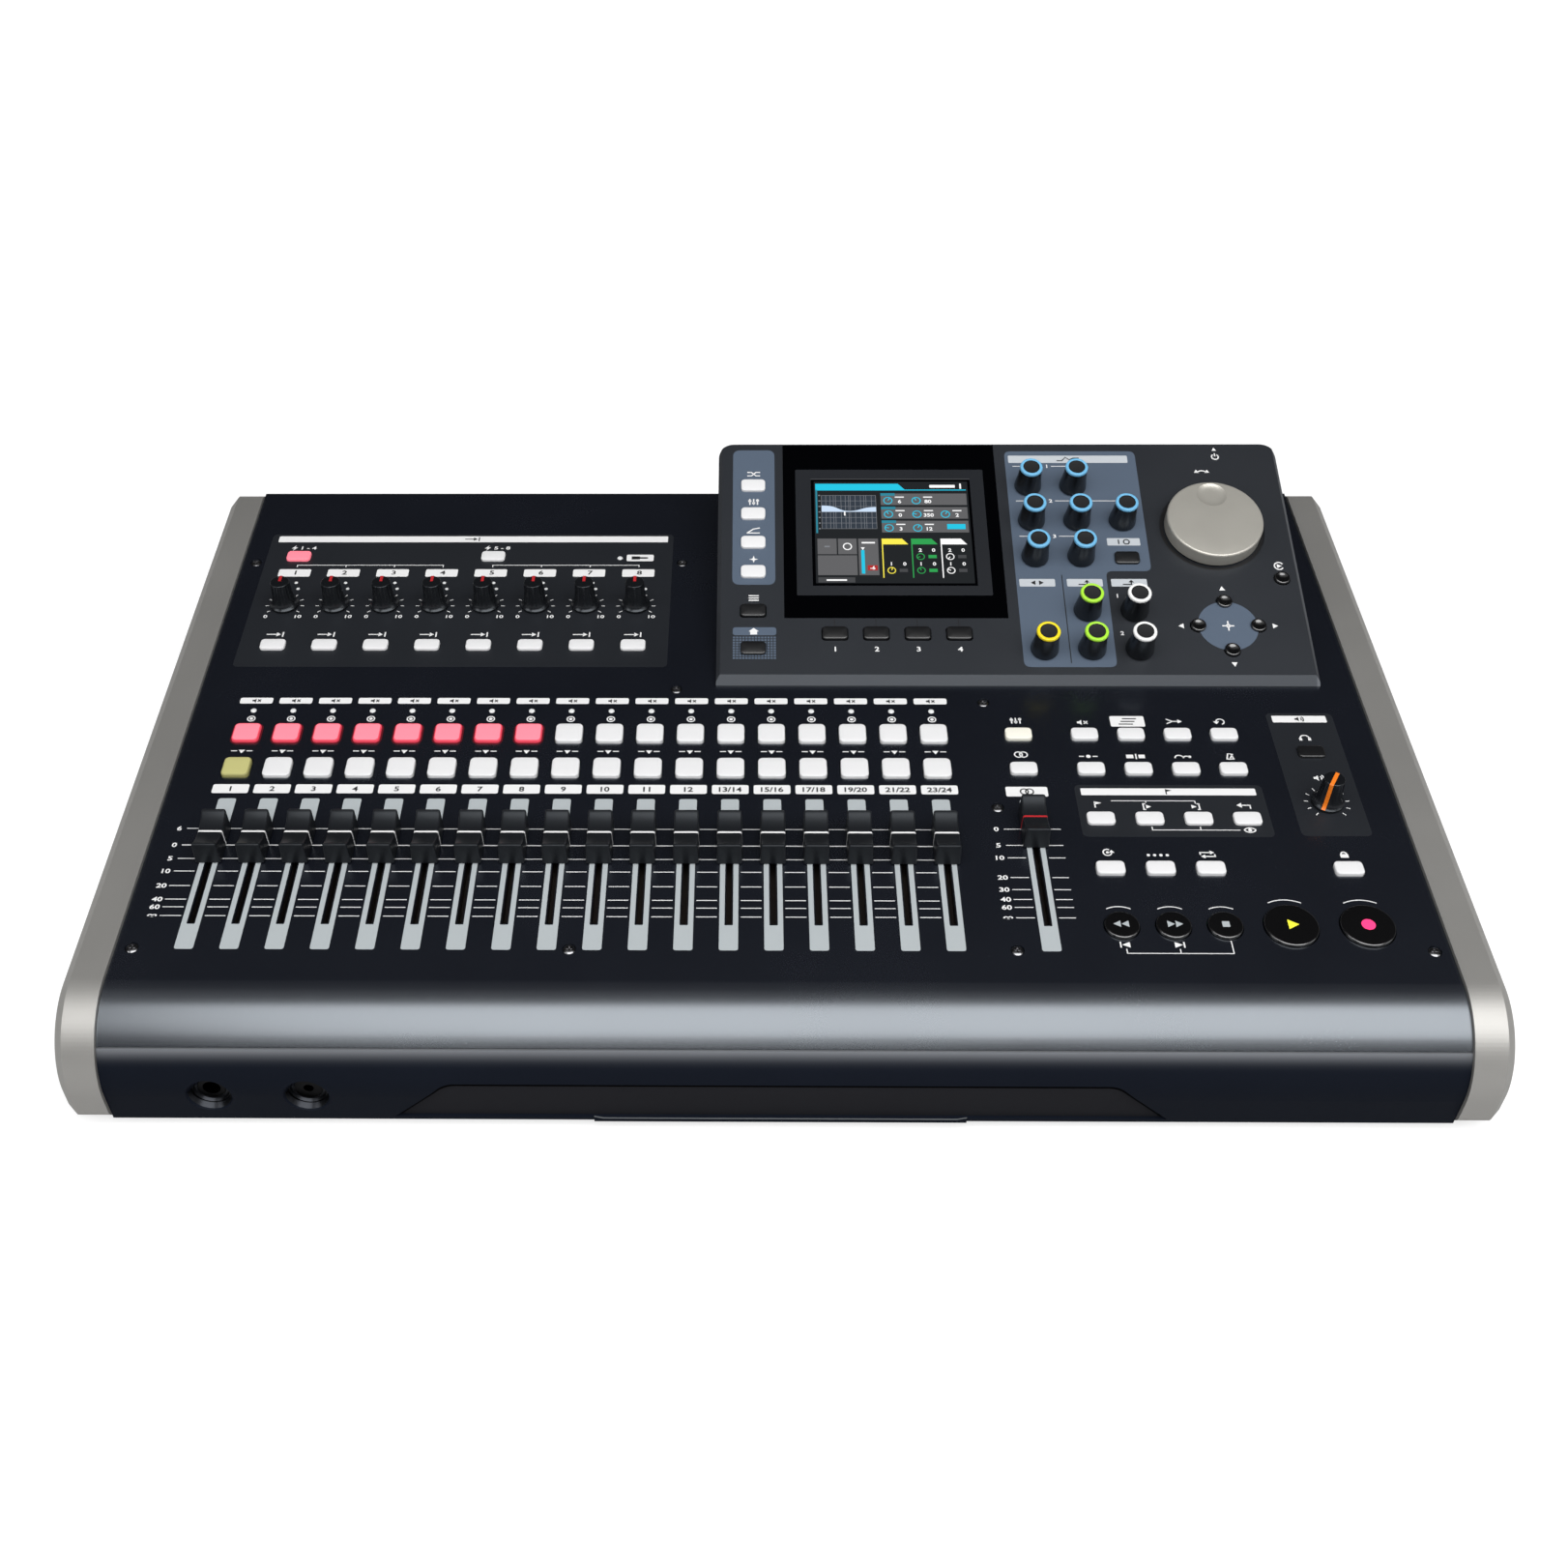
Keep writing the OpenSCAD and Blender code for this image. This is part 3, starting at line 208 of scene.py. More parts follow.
# Flat band between two lines of as many points each.
def bandOf(outer, inner, lift, tag, closed=False):
    return shapeOf(level(np.vstack([outer, inner]), lift), (gridQuads(2, len(outer), closed), tag))


def disc(x, s, r, lift, tag, m=28):
    return plate(curveOf(x, s, r, 0, 360 - 360 / m, m), lift, tag)


# Part of a flat ring from one angle to another, in degrees.
def arc(x, s, r0, r1, a0, a1, lift, tag, m=24):
    return bandOf(curveOf(x, s, r1, a0, a1, m), curveOf(x, s, r0, a0, a1, m), lift, tag)


# Ribbon of even width along a line of points: the two edges are the line moved along its own normals.
def stroke(points, wide, lift, tag):
    step = np.gradient(points, axis=0)
    step /= np.maximum(np.linalg.norm(step, axis=1, keepdims=True), 1e-9)
    side = np.stack([step[:, 1], -step[:, 0]], -1) * wide / 2
    return bandOf(points + side, points - side, lift, tag)


# Short lines set out round a point, between two radii, at the given angles in degrees.
def ticks(x, s, r0, r1, wide, angles, lift, tag):
    a = np.radians(np.asarray(angles, float))[:, None]
    along = np.stack([np.cos(a), np.sin(a)], -1)
    across = np.stack([-np.sin(a), np.cos(a)], -1)
    r = np.array([r0, r1, r1, r0])[None, :, None]
    side = np.array([-1, -1, 1, 1])[None, :, None] * wide / 2
    p = (np.array([x, s]) + along * r + across * side).reshape(-1, 2)
    return shapeOf(level(p, lift), (np.arange(len(p)).reshape(-1, 4), tag))


# Even triangle about a point, its first corner turned by degrees from +x.
def triangle(x, s, size, turn, lift, tag):
    return plate(curveOf(x, s, size, turn, turn + 240, 3), lift, tag)


# Parts of a sign: a line or filled outline through x, y, x, y and on, a bow, a ring, a dot and a box.
def line(*q):
    return "line", np.reshape(q, (-1, 2)).astype(float)


def fill(*q):
    return "fill", np.reshape(q, (-1, 2)).astype(float)


def bow(x, y, r, a0, a1):
    return "line", curveOf(x, y, r, a0, a1)


def ring(x, y, r):
    return "line", curveOf(x, y, r, 0, 360, 25)


def dot(x, y, r):
    return "fill", curveOf(x, y, r, 0, 342, 20)


def box(x0, x1, y0, y1):
    return fill(x0, y0, x1, y0, x1, y1, x0, y1)


# Small signs beside the controls, each about two units tall about its own middle
horn = fill(-1.2, -0.35, -0.7, -0.35, -0.1, -0.9, -0.1, 0.9, -0.7, 0.35, -1.2, 0.35)
signs = {
    "speakerOff": [horn, line(0.4, -0.5, 1.3, 0.5), line(0.4, 0.5, 1.3, -0.5)],
    "speaker": [horn, bow(0, 0, 0.65, -50, 50), bow(0, 0, 1.2, -50, 50)],
    "record": [ring(0, 0, 1.0), dot(0, 0, 0.5)],
    "pick": [line(-3.0, 0.3, -1.3, 0.3), fill(-0.9, 0.7, 0, -0.7, 0.9, 0.7), line(1.3, 0.3, 3.0, 0.3)],
    "source": [line(-2.4, 0, 0.3, 0), fill(0.1, -0.75, 1.2, 0, 0.1, 0.75), line(1.7, -0.9, 1.7, 0.9)],
    "bolt": [fill(0.35, 1.1, -0.75, -0.2, -0.05, -0.2, -0.35, -1.1, 0.75, 0.25, 0.05, 0.25)],
    "sliders": [line(x, -1, x, 1) for x in (-1, 0, 1)]
               + [box(x - 0.4, x + 0.4, y - 0.3, y + 0.3) for x, y in ((-1, 0.3), (0, -0.4), (1, 0.5))],
    "twoRings": [ring(-0.6, 0, 0.9), ring(0.6, 0, 0.9)],
    "layers": [line(-2.0 + k * 0.5, y, 1.2 + k * 0.5, y) for k, y in enumerate((-0.9, 0, 0.9))],
    "merge": [line(-2.0, 0.8, -0.5, 0.0, 0.8, 0), line(-2.0, -0.8, -0.5, 0),
              fill(0.7, -0.7, 1.8, 0, 0.7, 0.7)],
    "undo": [bow(0.1, -0.1, 0.95, -70, 175), fill(-1.6, 0.0, -0.1, 0.0, -0.85, -0.95)],
    "solo": [dot(0, 0, 0.55), line(-2.2, 0, -1.0, 0), line(1.0, 0, 2.2, 0)],
    "blocks": [box(-2.2, -0.5, -0.6, 0.6), line(0.1, -0.9, 0.1, 0.9), box(0.7, 2.2, -0.6, 0.6)],
    "hop": [bow(-0.9, -0.7, 1.0, 180, 0), bow(0.8, -0.7, 0.7, 180, 20), dot(1.6, -0.2, 0.4)],
    "metronome": [line(-0.8, -0.9, -0.35, 0.9, 0.35, 0.9, 0.8, -0.9), line(-1.0, -0.9, 1.0, -0.9),
                  line(0, -0.6, 0.8, 0.8)],
    "flag": [line(-0.6, -1, -0.6, 1), fill(-0.6, 1, 1.0, 0.5, -0.6, 0)],
    "bracketIn": [line(-0.3, 0.9, -1.0, 0.9), line(-0.8, 0.9, -0.8, -0.9), line(-1.0, -0.9, -0.3, -0.9),
                  fill(-0.2, -0.6, 1.0, 0, -0.2, 0.6)],
    "bracketOut": [line(0.3, 0.9, 1.0, 0.9), line(0.8, 0.9, 0.8, -0.9), line(1.0, -0.9, 0.3, -0.9),
                   fill(-1.0, -0.6, 0.2, 0, -1.0, 0.6)],
    "back": [line(1.5, -0.8, 1.5, 0.4), line(1.7, 0.3, -0.5, 0.3), fill(-0.4, -0.5, -1.6, 0.3, -0.4, 1.1)],
    "eye": [dot(0, 0, 0.45), bow(0, -0.9, 1.6, 35, 145), bow(0, 0.9, 1.6, 215, 325)],
    "auto": [bow(0, 0, 0.95, 60, 350), fill(0.3, -0.1, 1.6, -0.1, 0.95, 0.75), dot(0, 0, 0.35)],
    "dots": [dot(x, 0, 0.38) for x in (-2.1, -0.7, 0.7, 2.1)],
    "loop": [line(-1.6, -0.1, -1.6, 0.7), line(-1.8, 0.6, 0.8, 0.6), fill(0.6, 0.0, 1.6, 0.6, 0.6, 1.2),
             line(1.6, 0.1, 1.6, -0.7), line(1.8, -0.6, -0.8, -0.6),
             fill(-0.6, -1.2, -1.6, -0.6, -0.6, 0.0)],
    "lock": [box(-0.9, 0.9, -1.0, 0.1), bow(0, 0.1, 0.6, 0, 180)],
    "toStart": [line(-1.1, -0.8, -1.1, 0.8), fill(0.9, -0.8, 0.9, 0.8, -0.8, 0)],
    "toEnd": [fill(-0.9, -0.8, 0.8, 0, -0.9, 0.8), line(1.1, -0.8, 1.1, 0.8)],
    "house": [fill(-1.2, 0, 0, 1.0, 1.2, 0), fill(-0.8, 0, -0.8, -0.9, 0.8, -0.9, 0.8, 0)],
    "list": [line(-1.4, y, 1.4, y) for y in (-0.8, 0, 0.8)],
    "route": [line(-1.7, y, -0.6, y, 0.6, -y, 1.7, -y) for y in (0.6, -0.6)],
    "knee": [line(-1.6, -0.8, -0.1, 0.4, 1.6, 0.8), line(-1.8, -0.9, 1.6, -0.9)],
    "star": [fill(0, 1.1, -0.25, 0.25, -1.1, 0, -0.25, -0.25, 0, -1.1, 0.25, -0.25, 1.1, 0, 0.25, 0.25)],
    "standby": [bow(0, -0.1, 0.9, 125, 415), line(0, 0.1, 0, 1.1)],
    "wheel": [bow(0, -0.9, 1.5, 40, 140), fill(0.75, -0.1, 1.9, 0.0, 1.3, 0.95),
              fill(-0.75, -0.1, -1.3, 0.95, -1.9, 0.0)],
    "playRing": [fill(-0.5, -0.65, 0.75, 0, -0.5, 0.65), bow(0, 0, 1.15, 30, 330)],
    "cross": [line(-1.5, 0, 1.5, 0), line(0, -1.5, 0, 1.5), dot(0, 0, 0.6)],
    "curve": [line(-3.0, -0.5, -1.6, -0.5, -0.6, 0.7, 0.4, -0.2, 1.4, 0.4, 3.0, 0.4)],
    "balance": [fill(-0.5, -0.8, -0.5, 0.8, -1.8, 0), fill(0.5, -0.8, 1.8, 0, 0.5, 0.8)],
    "send": [line(-1.8, -0.6, 0.6, -0.6), line(0.6, -0.8, 0.6, 0.3), fill(-0.2, 0.1, 1.4, 0.1, 0.6, 1.0)],
    "onOff": [line(-1.4, -0.8, -1.4, 0.8), ring(0.8, 0, 0.8)],
    "phones": [bow(0, -0.3, 1.1, 0, 180), box(-1.4, -0.7, -1.0, -0.1), box(0.7, 1.4, -1.0, -0.1)],
    "plug": [box(-2.0, 0.0, -0.6, 0.6), fill(0.0, -0.3, 1.7, -0.3, 2.1, 0, 1.7, 0.3, 0.0, 0.3)]}


def sign(kind, x, s, size, lift, tag, wide=0.55):
    moved = [(what, form * size + [x, s]) for what, form in signs[kind]]
    return joined([stroke(p, wide, lift, tag) if what == "line" else plate(p, lift, tag)
                   for what, p in moved])


# Plain numbers: the font's outline made a flat mesh, kept for a height of 1 about its own centre
figures = {"steps": 3, "bold": 0.026, "made": {}}


def numberMesh(word):
    curve = bpy.data.curves.new("numberCurve", "FONT")
    curve.body, curve.size, curve.align_x, curve.align_y = word, 1.0, "CENTER", "CENTER"
    curve.resolution_u, curve.offset = figures["steps"], figures["bold"]
    holder = bpy.data.objects.new("numberHolder", curve)
    bpy.context.scene.collection.objects.link(holder)
    bpy.context.view_layer.update()
    mesh = bpy.data.meshes.new_from_object(holder.evaluated_get(bpy.context.evaluated_depsgraph_get()))
    mesh.calc_loop_triangles()
    co = np.empty(len(mesh.vertices) * 3)
    mesh.vertices.foreach_get("co", co)
    tri = np.empty(len(mesh.loop_triangles) * 3, int)
    mesh.loop_triangles.foreach_get("vertices", tri)
    co, tri = co.reshape(-1, 3), tri.reshape(-1, 3)
    under = np.cross(co[tri[:, 1]] - co[tri[:, 0]], co[tri[:, 2]] - co[tri[:, 0]])[:, 2] < 0
    tri[under] = tri[under][:, ::-1]                       # every face looks up
    flat = co[:, :2]
    bpy.data.objects.remove(holder)
    bpy.data.meshes.remove(mesh)
    bpy.data.curves.remove(curve)
    return (flat - (flat.min(0) + flat.max(0)) / 2) / np.ptp(flat[:, 1]), tri


def numberShape(word, size, x, s, lift, tag, wide=1.2):
    if word not in figures["made"]:
        figures["made"][word] = numberMesh(word)
    flat, tri = figures["made"][word]
    return shapeOf(level(flat * [size * wide, size] + [x, s], lift), (tri, tag))


# Shapes into one mesh object, whole arrays at a time, smooth up to an angle between faces or else flat.
def makePiece(name, shapes, materials, body, stands=(), smooth=38):
    whole = joined(shapes)
    points = whole["points"]
    loops = np.concatenate([faces.ravel() for faces, tag in whole["sets"]])
    totals = np.concatenate([np.full(len(faces), faces.shape[1]) for faces, tag in whole["sets"]])
    tags = np.concatenate([tag for faces, tag in whole["sets"]])
    mesh = bpy.data.meshes.new(name)
    mesh.vertices.add(len(points))
    mesh.loops.add(len(loops))
    mesh.polygons.add(len(totals))
    mesh.vertices.foreach_set("co", points.astype(np.float32).ravel())
    mesh.loops.foreach_set("vertex_index", loops.astype(np.int32))
    mesh.polygons.foreach_set("loop_start", (np.cumsum(totals) - totals).astype(np.int32))
    mesh.polygons.foreach_set("material_index", tags.astype(np.int32))
    mesh.polygons.foreach_set("use_smooth", np.full(len(totals), smooth > 0))
    for material in materials:
        mesh.materials.append(material)
    mesh.update(calc_edges=True)
    mesh.validate()
    if smooth:
        mesh.set_sharp_from_angle(angle=math.radians(smooth))
    piece = bpy.data.objects.new(name, mesh)
    bpy.context.scene.collection.objects.link(piece)
    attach(piece, body)
    if stands:
        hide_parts(*stands)


# A control's shapes in place: they ride on the body of their own node and stand in for it.
def dress(name, node, shapes, where, materials, smooth=38):
    makePiece(name, [placed(joined(shapes), where)], materials, node, [node], smooth)


def setInputs(node, values):
    for key, value in values.items():
        node.inputs[key].default_value = value


# A node with its settings first, then the values of its inputs.
def addNode(tree, kind, values=None, **settings):
    node = tree.nodes.new(kind)
    for key, value in settings.items():
        setattr(node, key, value)
    setInputs(node, values or {})
    return node


def mathNode(tree, operation, values=None, clamp=False):
    return addNode(tree, "ShaderNodeMath", values, operation=operation, use_clamp=clamp)


# Links, each from a node's output to another node's input.
def wire(tree, *links):
    for source, output, target, entry in links:
        tree.links.new(source.outputs[output], target.inputs[entry])


def newGroup(name, inputs, outputs):
    group = bpy.data.node_groups.new(name, "ShaderNodeTree")
    for way, sockets in (("INPUT", inputs), ("OUTPUT", outputs)):
        for label, kind in sockets.items():
            group.interface.new_socket(label, in_out=way, socket_type="NodeSocket" + kind)
    return group, addNode(group, "NodeGroupInput"), addNode(group, "NodeGroupOutput")


grainMix = {"fineDetail": 2, "cloudDetail": 4, "share": 0.35, "middle": 0.67, "depth": 0.03,
            "maskPower": 5.0}


# Shared finish: a fine grain for bump, and slow clouds that shift colour and roughness a little.
def buildGrainGroup():
    tree, into, out = newGroup("mouldedGrain",
                               {"Color": "Color", "Shade": "Float", "Rough": "Float", "Rough Shift": "Float",
                                "Grain": "Float", "Cloud": "Float"},
                               {"Color": "Color", "Roughness": "Float", "Height": "Float"})
    place = addNode(tree, "ShaderNodeTexCoord")
    fine = addNode(tree, "ShaderNodeTexNoise", {"Detail": grainMix["fineDetail"]})
    slow = addNode(tree, "ShaderNodeTexNoise", {"Detail": grainMix["cloudDetail"]})
    both = mathNode(tree, "MULTIPLY_ADD", {1: grainMix["share"]})    # the clouds plus a share of the grain
    centred = mathNode(tree, "SUBTRACT", {1: grainMix["middle"]})
    gain = mathNode(tree, "MULTIPLY_ADD", {2: 1.0})
    tint = addNode(tree, "ShaderNodeVectorMath", operation="SCALE")
    rough = mathNode(tree, "MULTIPLY_ADD", clamp=True)
    wire(tree, (place, "Object", fine, "Vector"), (place, "Object", slow, "Vector"),
         (into, "Grain", fine, "Scale"), (into, "Cloud", slow, "Scale"),
         (fine, "Fac", both, 0), (slow, "Fac", both, 2), (both, 0, centred, 0),
         (centred, 0, gain, 0), (into, "Shade", gain, 1), (into, "Color", tint, 0), (gain, 0, tint, "Scale"),
         (centred, 0, rough, 0), (into, "Rough Shift", rough, 1), (into, "Rough", rough, 2),
         (tint, 0, out, "Color"), (rough, 0, out, "Roughness"), (fine, "Fac", out, "Height"))
    return tree


# Mask of 1 inside a box in Object coordinates, in metres, that fades in over a soft width from its faces:
# the product of the six depths below the faces as shares of that width, to a power so it starts slowly.
def buildBoxMaskGroup():
    tree, into, out = newGroup("boxMask", {"Low": "Vector", "High": "Vector", "Soft": "Float"},
                               {"Mask": "Float"})
    place = addNode(tree, "ShaderNodeTexCoord")
    depths = []
    for ahead, behind in (((place, "Object"), (into, "Low")), ((into, "High"), (place, "Object"))):
        gap = addNode(tree, "ShaderNodeVectorMath", operation="SUBTRACT")
        cut = addNode(tree, "ShaderNodeSeparateXYZ")
        wire(tree, (*ahead, gap, 0), (*behind, gap, 1), (gap, 0, cut, 0))
        for axis in "XYZ":
            depths.append(mathNode(tree, "DIVIDE", clamp=True))
            wire(tree, (cut, axis, depths[-1], 0), (into, "Soft", depths[-1], 1))
    last = depths[0]
    for depth in depths[1:]:
        both = mathNode(tree, "MULTIPLY")
        wire(tree, (last, 0, both, 0), (depth, 0, both, 1))
        last = both
    fade = mathNode(tree, "POWER", {1: grainMix["maskPower"]})
    wire(tree, (last, 0, fade, 0), (fade, 0, out, "Mask"))
    return tree


grainGroup = buildGrainGroup()
maskGroup = buildBoxMaskGroup()


# A part of a moulding with its own colour, roughness and metal: a box in millimetres with a soft edge.
def patch(low, high, color, rough, metal, soft=0.01):
    box = {"Low": [q * mm for q in low], "High": [q * mm for q in high], "Soft": soft * mm}
    return {"box": box, "color": (*color, 1), "rough": rough, "metal": metal}


# A finish from the grain group: colour, roughness and bump vary, the rest is set on the shader.
# Patches give other colours, roughness and metal inside parts of the same moulding.
def finish(name, color, rough=0.5, metal=0.0, spec=0.5, shade=0.2, roughShift=0.1, grain=1500.0, cloud=18.0,
           bump=0.1, ior=1.5, tint=(1, 1, 1), glow=None, glowPower=0.0, patches=()):
    material = bpy.data.materials.new(name)
    material.use_nodes = True
    tree = material.node_tree
    shader = tree.nodes["Principled BSDF"]
    setInputs(shader, {"Metallic": metal, "Specular IOR Level": spec, "IOR": ior,
                       "Specular Tint": (*tint, 1)})
    base = addNode(tree, "ShaderNodeGroup",
                   {"Color": (*color, 1), "Shade": shade, "Rough": rough, "Rough Shift": roughShift,
                    "Grain": grain, "Cloud": cloud}, node_tree=grainGroup)
    colorFrom, roughFrom, metalFrom = (base, "Color"), (base, "Roughness"), None
    for part in patches:
        mask = addNode(tree, "ShaderNodeGroup", part["box"], node_tree=maskGroup)
        hue = addNode(tree, "ShaderNodeMix", {"B": part["color"]}, data_type="RGBA")
        soft = addNode(tree, "ShaderNodeMix", {"B": part["rough"]})
        hard = addNode(tree, "ShaderNodeMix", {"A": metal, "B": part["metal"]})
        wire(tree, *((mask, 0, mix, "Factor") for mix in (hue, soft, hard)),
             (*colorFrom, hue, "A"), (*roughFrom, soft, "A"))
        if metalFrom:
            wire(tree, (*metalFrom, hard, "A"))
        colorFrom, roughFrom, metalFrom = (hue, "Result"), (soft, "Result"), (hard, "Result")
    wire(tree, (*colorFrom, shader, "Base Color"), (*roughFrom, shader, "Roughness"))
    if metalFrom:
        wire(tree, (*metalFrom, shader, "Metallic"))
    if glow:
        setInputs(shader, {"Emission Color": (*glow, 1), "Emission Strength": glowPower})
    if bump:
        relief = addNode(tree, "ShaderNodeBump", {"Strength": bump, "Distance": grainMix["depth"] * mm})
        wire(tree, (base, "Height", relief, "Height"), (relief, 0, shader, "Normal"))
    return material


# Finishes of the mouldings and sheet parts
coolSheen = (0.86, 0.93, 1.0)
far = 260                                                  # past the case's sides
deckPaint = finish("deckPaint", (0.0036, 0.0046, 0.0088), rough=0.265, spec=0.7, ior=2.0, tint=coolSheen,
                   shade=0.3, roughShift=0.06, grain=2600, bump=0.08)
# painted highlight: the fascia's upper edge is made lighter and metallic, fading down from the seam
fasciaEdgeHighlight = patch((-far, -200, 28.0), (far, -100, 60), (0.42, 0.44, 0.475), 0.4, 1.0, soft=9.4)
# painted highlight: the lower walls of the jack dishes, which face up, are made smoother and metallic so that
# they shine
dishWallHighlights = [patch((x - 8.3, -167.5, 9.0), (x + 8.3, -164.2, 19.0), (0.03, 0.032, 0.037), 0.3, 1.0)
          for x in (-204.025, -169.125)]
fasciaPaint = finish("fasciaPaint", (0.0070, 0.0092, 0.0152), rough=0.42, spec=0.035, shade=0.25, grain=2200,
                     bump=0.12, patches=[fasciaEdgeHighlight, *dishWallHighlights])
bayBlack = finish("bayBlack", (0.0185, 0.0188, 0.0222), rough=0.6, spec=0.03, shade=0.25, grain=2200,
                  bump=0.15)
# the dark band under the bay's edge is a painted shadow
bayEdgeShadow = finish("bayEdgeShadow", (0.0012, 0.0013, 0.0016), rough=0.7, spec=0.02)
# the pale ribbon on the lip's edge is a painted highlight
lipHighlight = finish("lipHighlight", (0.11, 0.118, 0.125), rough=0.4, spec=0.3, shade=0.15, bump=0.05)
# painted highlights: the console's bevelled front and right edges are made lighter and partly metallic
consoleEdgeHighlights = [patch((-60, 14.0, 50), (far, 20.55, 63.5), (0.036, 0.039, 0.045), 0.4, 0.3),
                patch((225.6, 14.0, 50), (far, 170, 120), (0.085, 0.09, 0.1), 0.4, 0.35)]
consoleShell = finish("consoleShell", (0.0175, 0.0193, 0.0235), rough=0.44, tint=coolSheen, shade=0.25,
                      grain=1800, bump=0.2, patches=consoleEdgeHighlights)
cheekSilver = finish("cheekSilver", (0.432, 0.423, 0.404), rough=0.43, metal=0.66, shade=0.12, grain=4000,
                     bump=0.06)
jogSilver = finish("jogSilver", (0.53, 0.512, 0.462), rough=0.34, metal=0.5, shade=0.1, grain=3000, cloud=60,
                   bump=0.05)
# dark ring in the gap round the jog wheel: a painted shadow
jogGapShadow = finish("jogGapShadow", (0.012, 0.012, 0.013), rough=0.4, spec=0.4)
knobBlack = finish("knobBlack", (0.0062, 0.0068, 0.0082), rough=0.25, spec=0.62, tint=coolSheen, shade=0.3,
                   roughShift=0.05, grain=2400, bump=0.05)
knobTop = finish("knobTop", (0.012, 0.0125, 0.0135), spec=0.4, shade=0.3, grain=2600, bump=0.2)
capBlack = finish("capBlack", (0.0095, 0.0105, 0.0125), rough=0.34, spec=0.28, tint=coolSheen, shade=0.3,
                  grain=2400, bump=0.08)
sheetBlack = finish("sheetBlack", (0.016, 0.016, 0.018), spec=0.4, shade=0.25, bump=0.25)
rubberBlack = finish("rubberBlack", (0.012, 0.012, 0.012), rough=0.8, spec=0.25, shade=0.3, grain=1200,
                     bump=0.3)
screwBlack = finish("screwBlack", (0.30, 0.30, 0.31), rough=0.2, metal=1.0, shade=0.3)
boardGreen = finish("boardGreen", (0.02, 0.12, 0.05))
# the slide controls under the faders are open on top and show their brown insides
slideInside = patch((-far, -130, 0), (far, -45, 80), (0.014, 0.0085, 0.006), 0.6, 0.0)
controlTin = finish("controlTin", (0.30, 0.31, 0.32), rough=0.4, metal=0.7, patches=[slideInside])
glossBlack = finish("glossBlack", (0.0022, 0.0022, 0.0026), rough=0.16, spec=0.75, ior=1.9, roughShift=0.05,
                    bump=0)
windowBlack = finish("windowBlack", (0.0007, 0.0008, 0.0012), rough=0.08, spec=0.08, roughShift=0.04, bump=0)

# Finishes of the keys and lamps
keyLit = {"rough": 0.4, "spec": 0.35, "shade": 0.08, "bump": 0.05}
icon = {"rough": 0.4, "spec": 0.3, "shade": 0.05, "bump": 0}
keyWhite = finish("keyWhite", (0.75, 0.75, 0.757), rough=0.4, spec=0.4, shade=0.05, grain=1800, bump=0.05)
keyWarm = finish("keyWarm", (0.86, 0.84, 0.74), rough=0.4, spec=0.4, shade=0.05, bump=0.05)
keyBlack = finish("keyBlack", (0.006, 0.0063, 0.0072), rough=0.32, spec=0.6, ior=1.7, shade=0.3, bump=0.08)
keyPink = finish("keyPink", (0.95, 0.22, 0.28), **keyLit, glow=(1.0, 0.2, 0.27), glowPower=0.32)
keyOlive = finish("keyOlive", (0.47, 0.45, 0.19), **keyLit, glow=(0.6, 0.56, 0.12), glowPower=0.08)
# darker copies of the lit colours for the keys' rims: painted shade
keyPinkShadedRim = finish("keyPinkShadedRim", (0.72, 0.06, 0.1), **keyLit, glow=(0.9, 0.06, 0.1), glowPower=0.2)
keyOliveShadedRim = finish("keyOliveShadedRim", (0.34, 0.32, 0.12), **keyLit)
leakRed = finish("leakRed", (0.03, 0.003, 0.004), spec=0.2, bump=0, glow=(0.085, 0.004, 0.009),
                 glowPower=1.0)
iconYellow = finish("iconYellow", (0.85, 0.80, 0.05), **icon, glow=(0.85, 0.8, 0.05), glowPower=0.12)
iconPink = finish("iconPink", (0.95, 0.05, 0.2), **icon, glow=(1.0, 0.04, 0.18), glowPower=0.35)
lampClear = finish("lampClear", (0.74, 0.75, 0.75), rough=0.25, shade=0.05, bump=0)

# Inks of the prints, pointers and rings
paleInk = {"spec": 0.35, "shade": 0.08, "bump": 0.05}
pointerInk = {"rough": 0.4, "spec": 0.4, "shade": 0.1, "bump": 0.03}
ringGloss = {"rough": 0.35, "spec": 0.45, "shade": 0.06, "bump": 0.03}
printWhite = finish("printWhite", (0.78, 0.78, 0.78), rough=0.55, spec=0.3, shade=0.08, bump=0.05)
printGrey = finish("printGrey", (0.40, 0.435, 0.45), **paleInk)
printPale = finish("printPale", (0.50, 0.53, 0.56), **paleInk)
printSlate = finish("printSlate", (0.083, 0.112, 0.158), spec=0.35, shade=0.1, bump=0.08)
printDark = finish("printDark", (0.012, 0.0122, 0.0135), spec=0.4, bump=0.08)
printField = finish("printField", (0.0125, 0.014, 0.0175), spec=0.4, tint=coolSheen, shade=0.25)
printBezel = finish("printBezel", (0.0134, 0.0152, 0.0189), rough=0.4, spec=0.4)
pointerRed = finish("pointerRed", (0.47, 0.018, 0.024), **pointerInk)
pointerOrange = finish("pointerOrange", (0.85, 0.2, 0.012), **pointerInk)
ringBlue = finish("ringBlue", (0.16, 0.46, 0.73), **ringGloss)
ringYellow = finish("ringYellow", (0.88, 0.70, 0.012), **ringGloss)
ringLime = finish("ringLime", (0.40, 0.80, 0.045), **ringGloss)
ringWhite = finish("ringWhite", (0.86, 0.86, 0.85), **ringGloss)
print("finishes made,", len(bpy.data.materials), "materials")

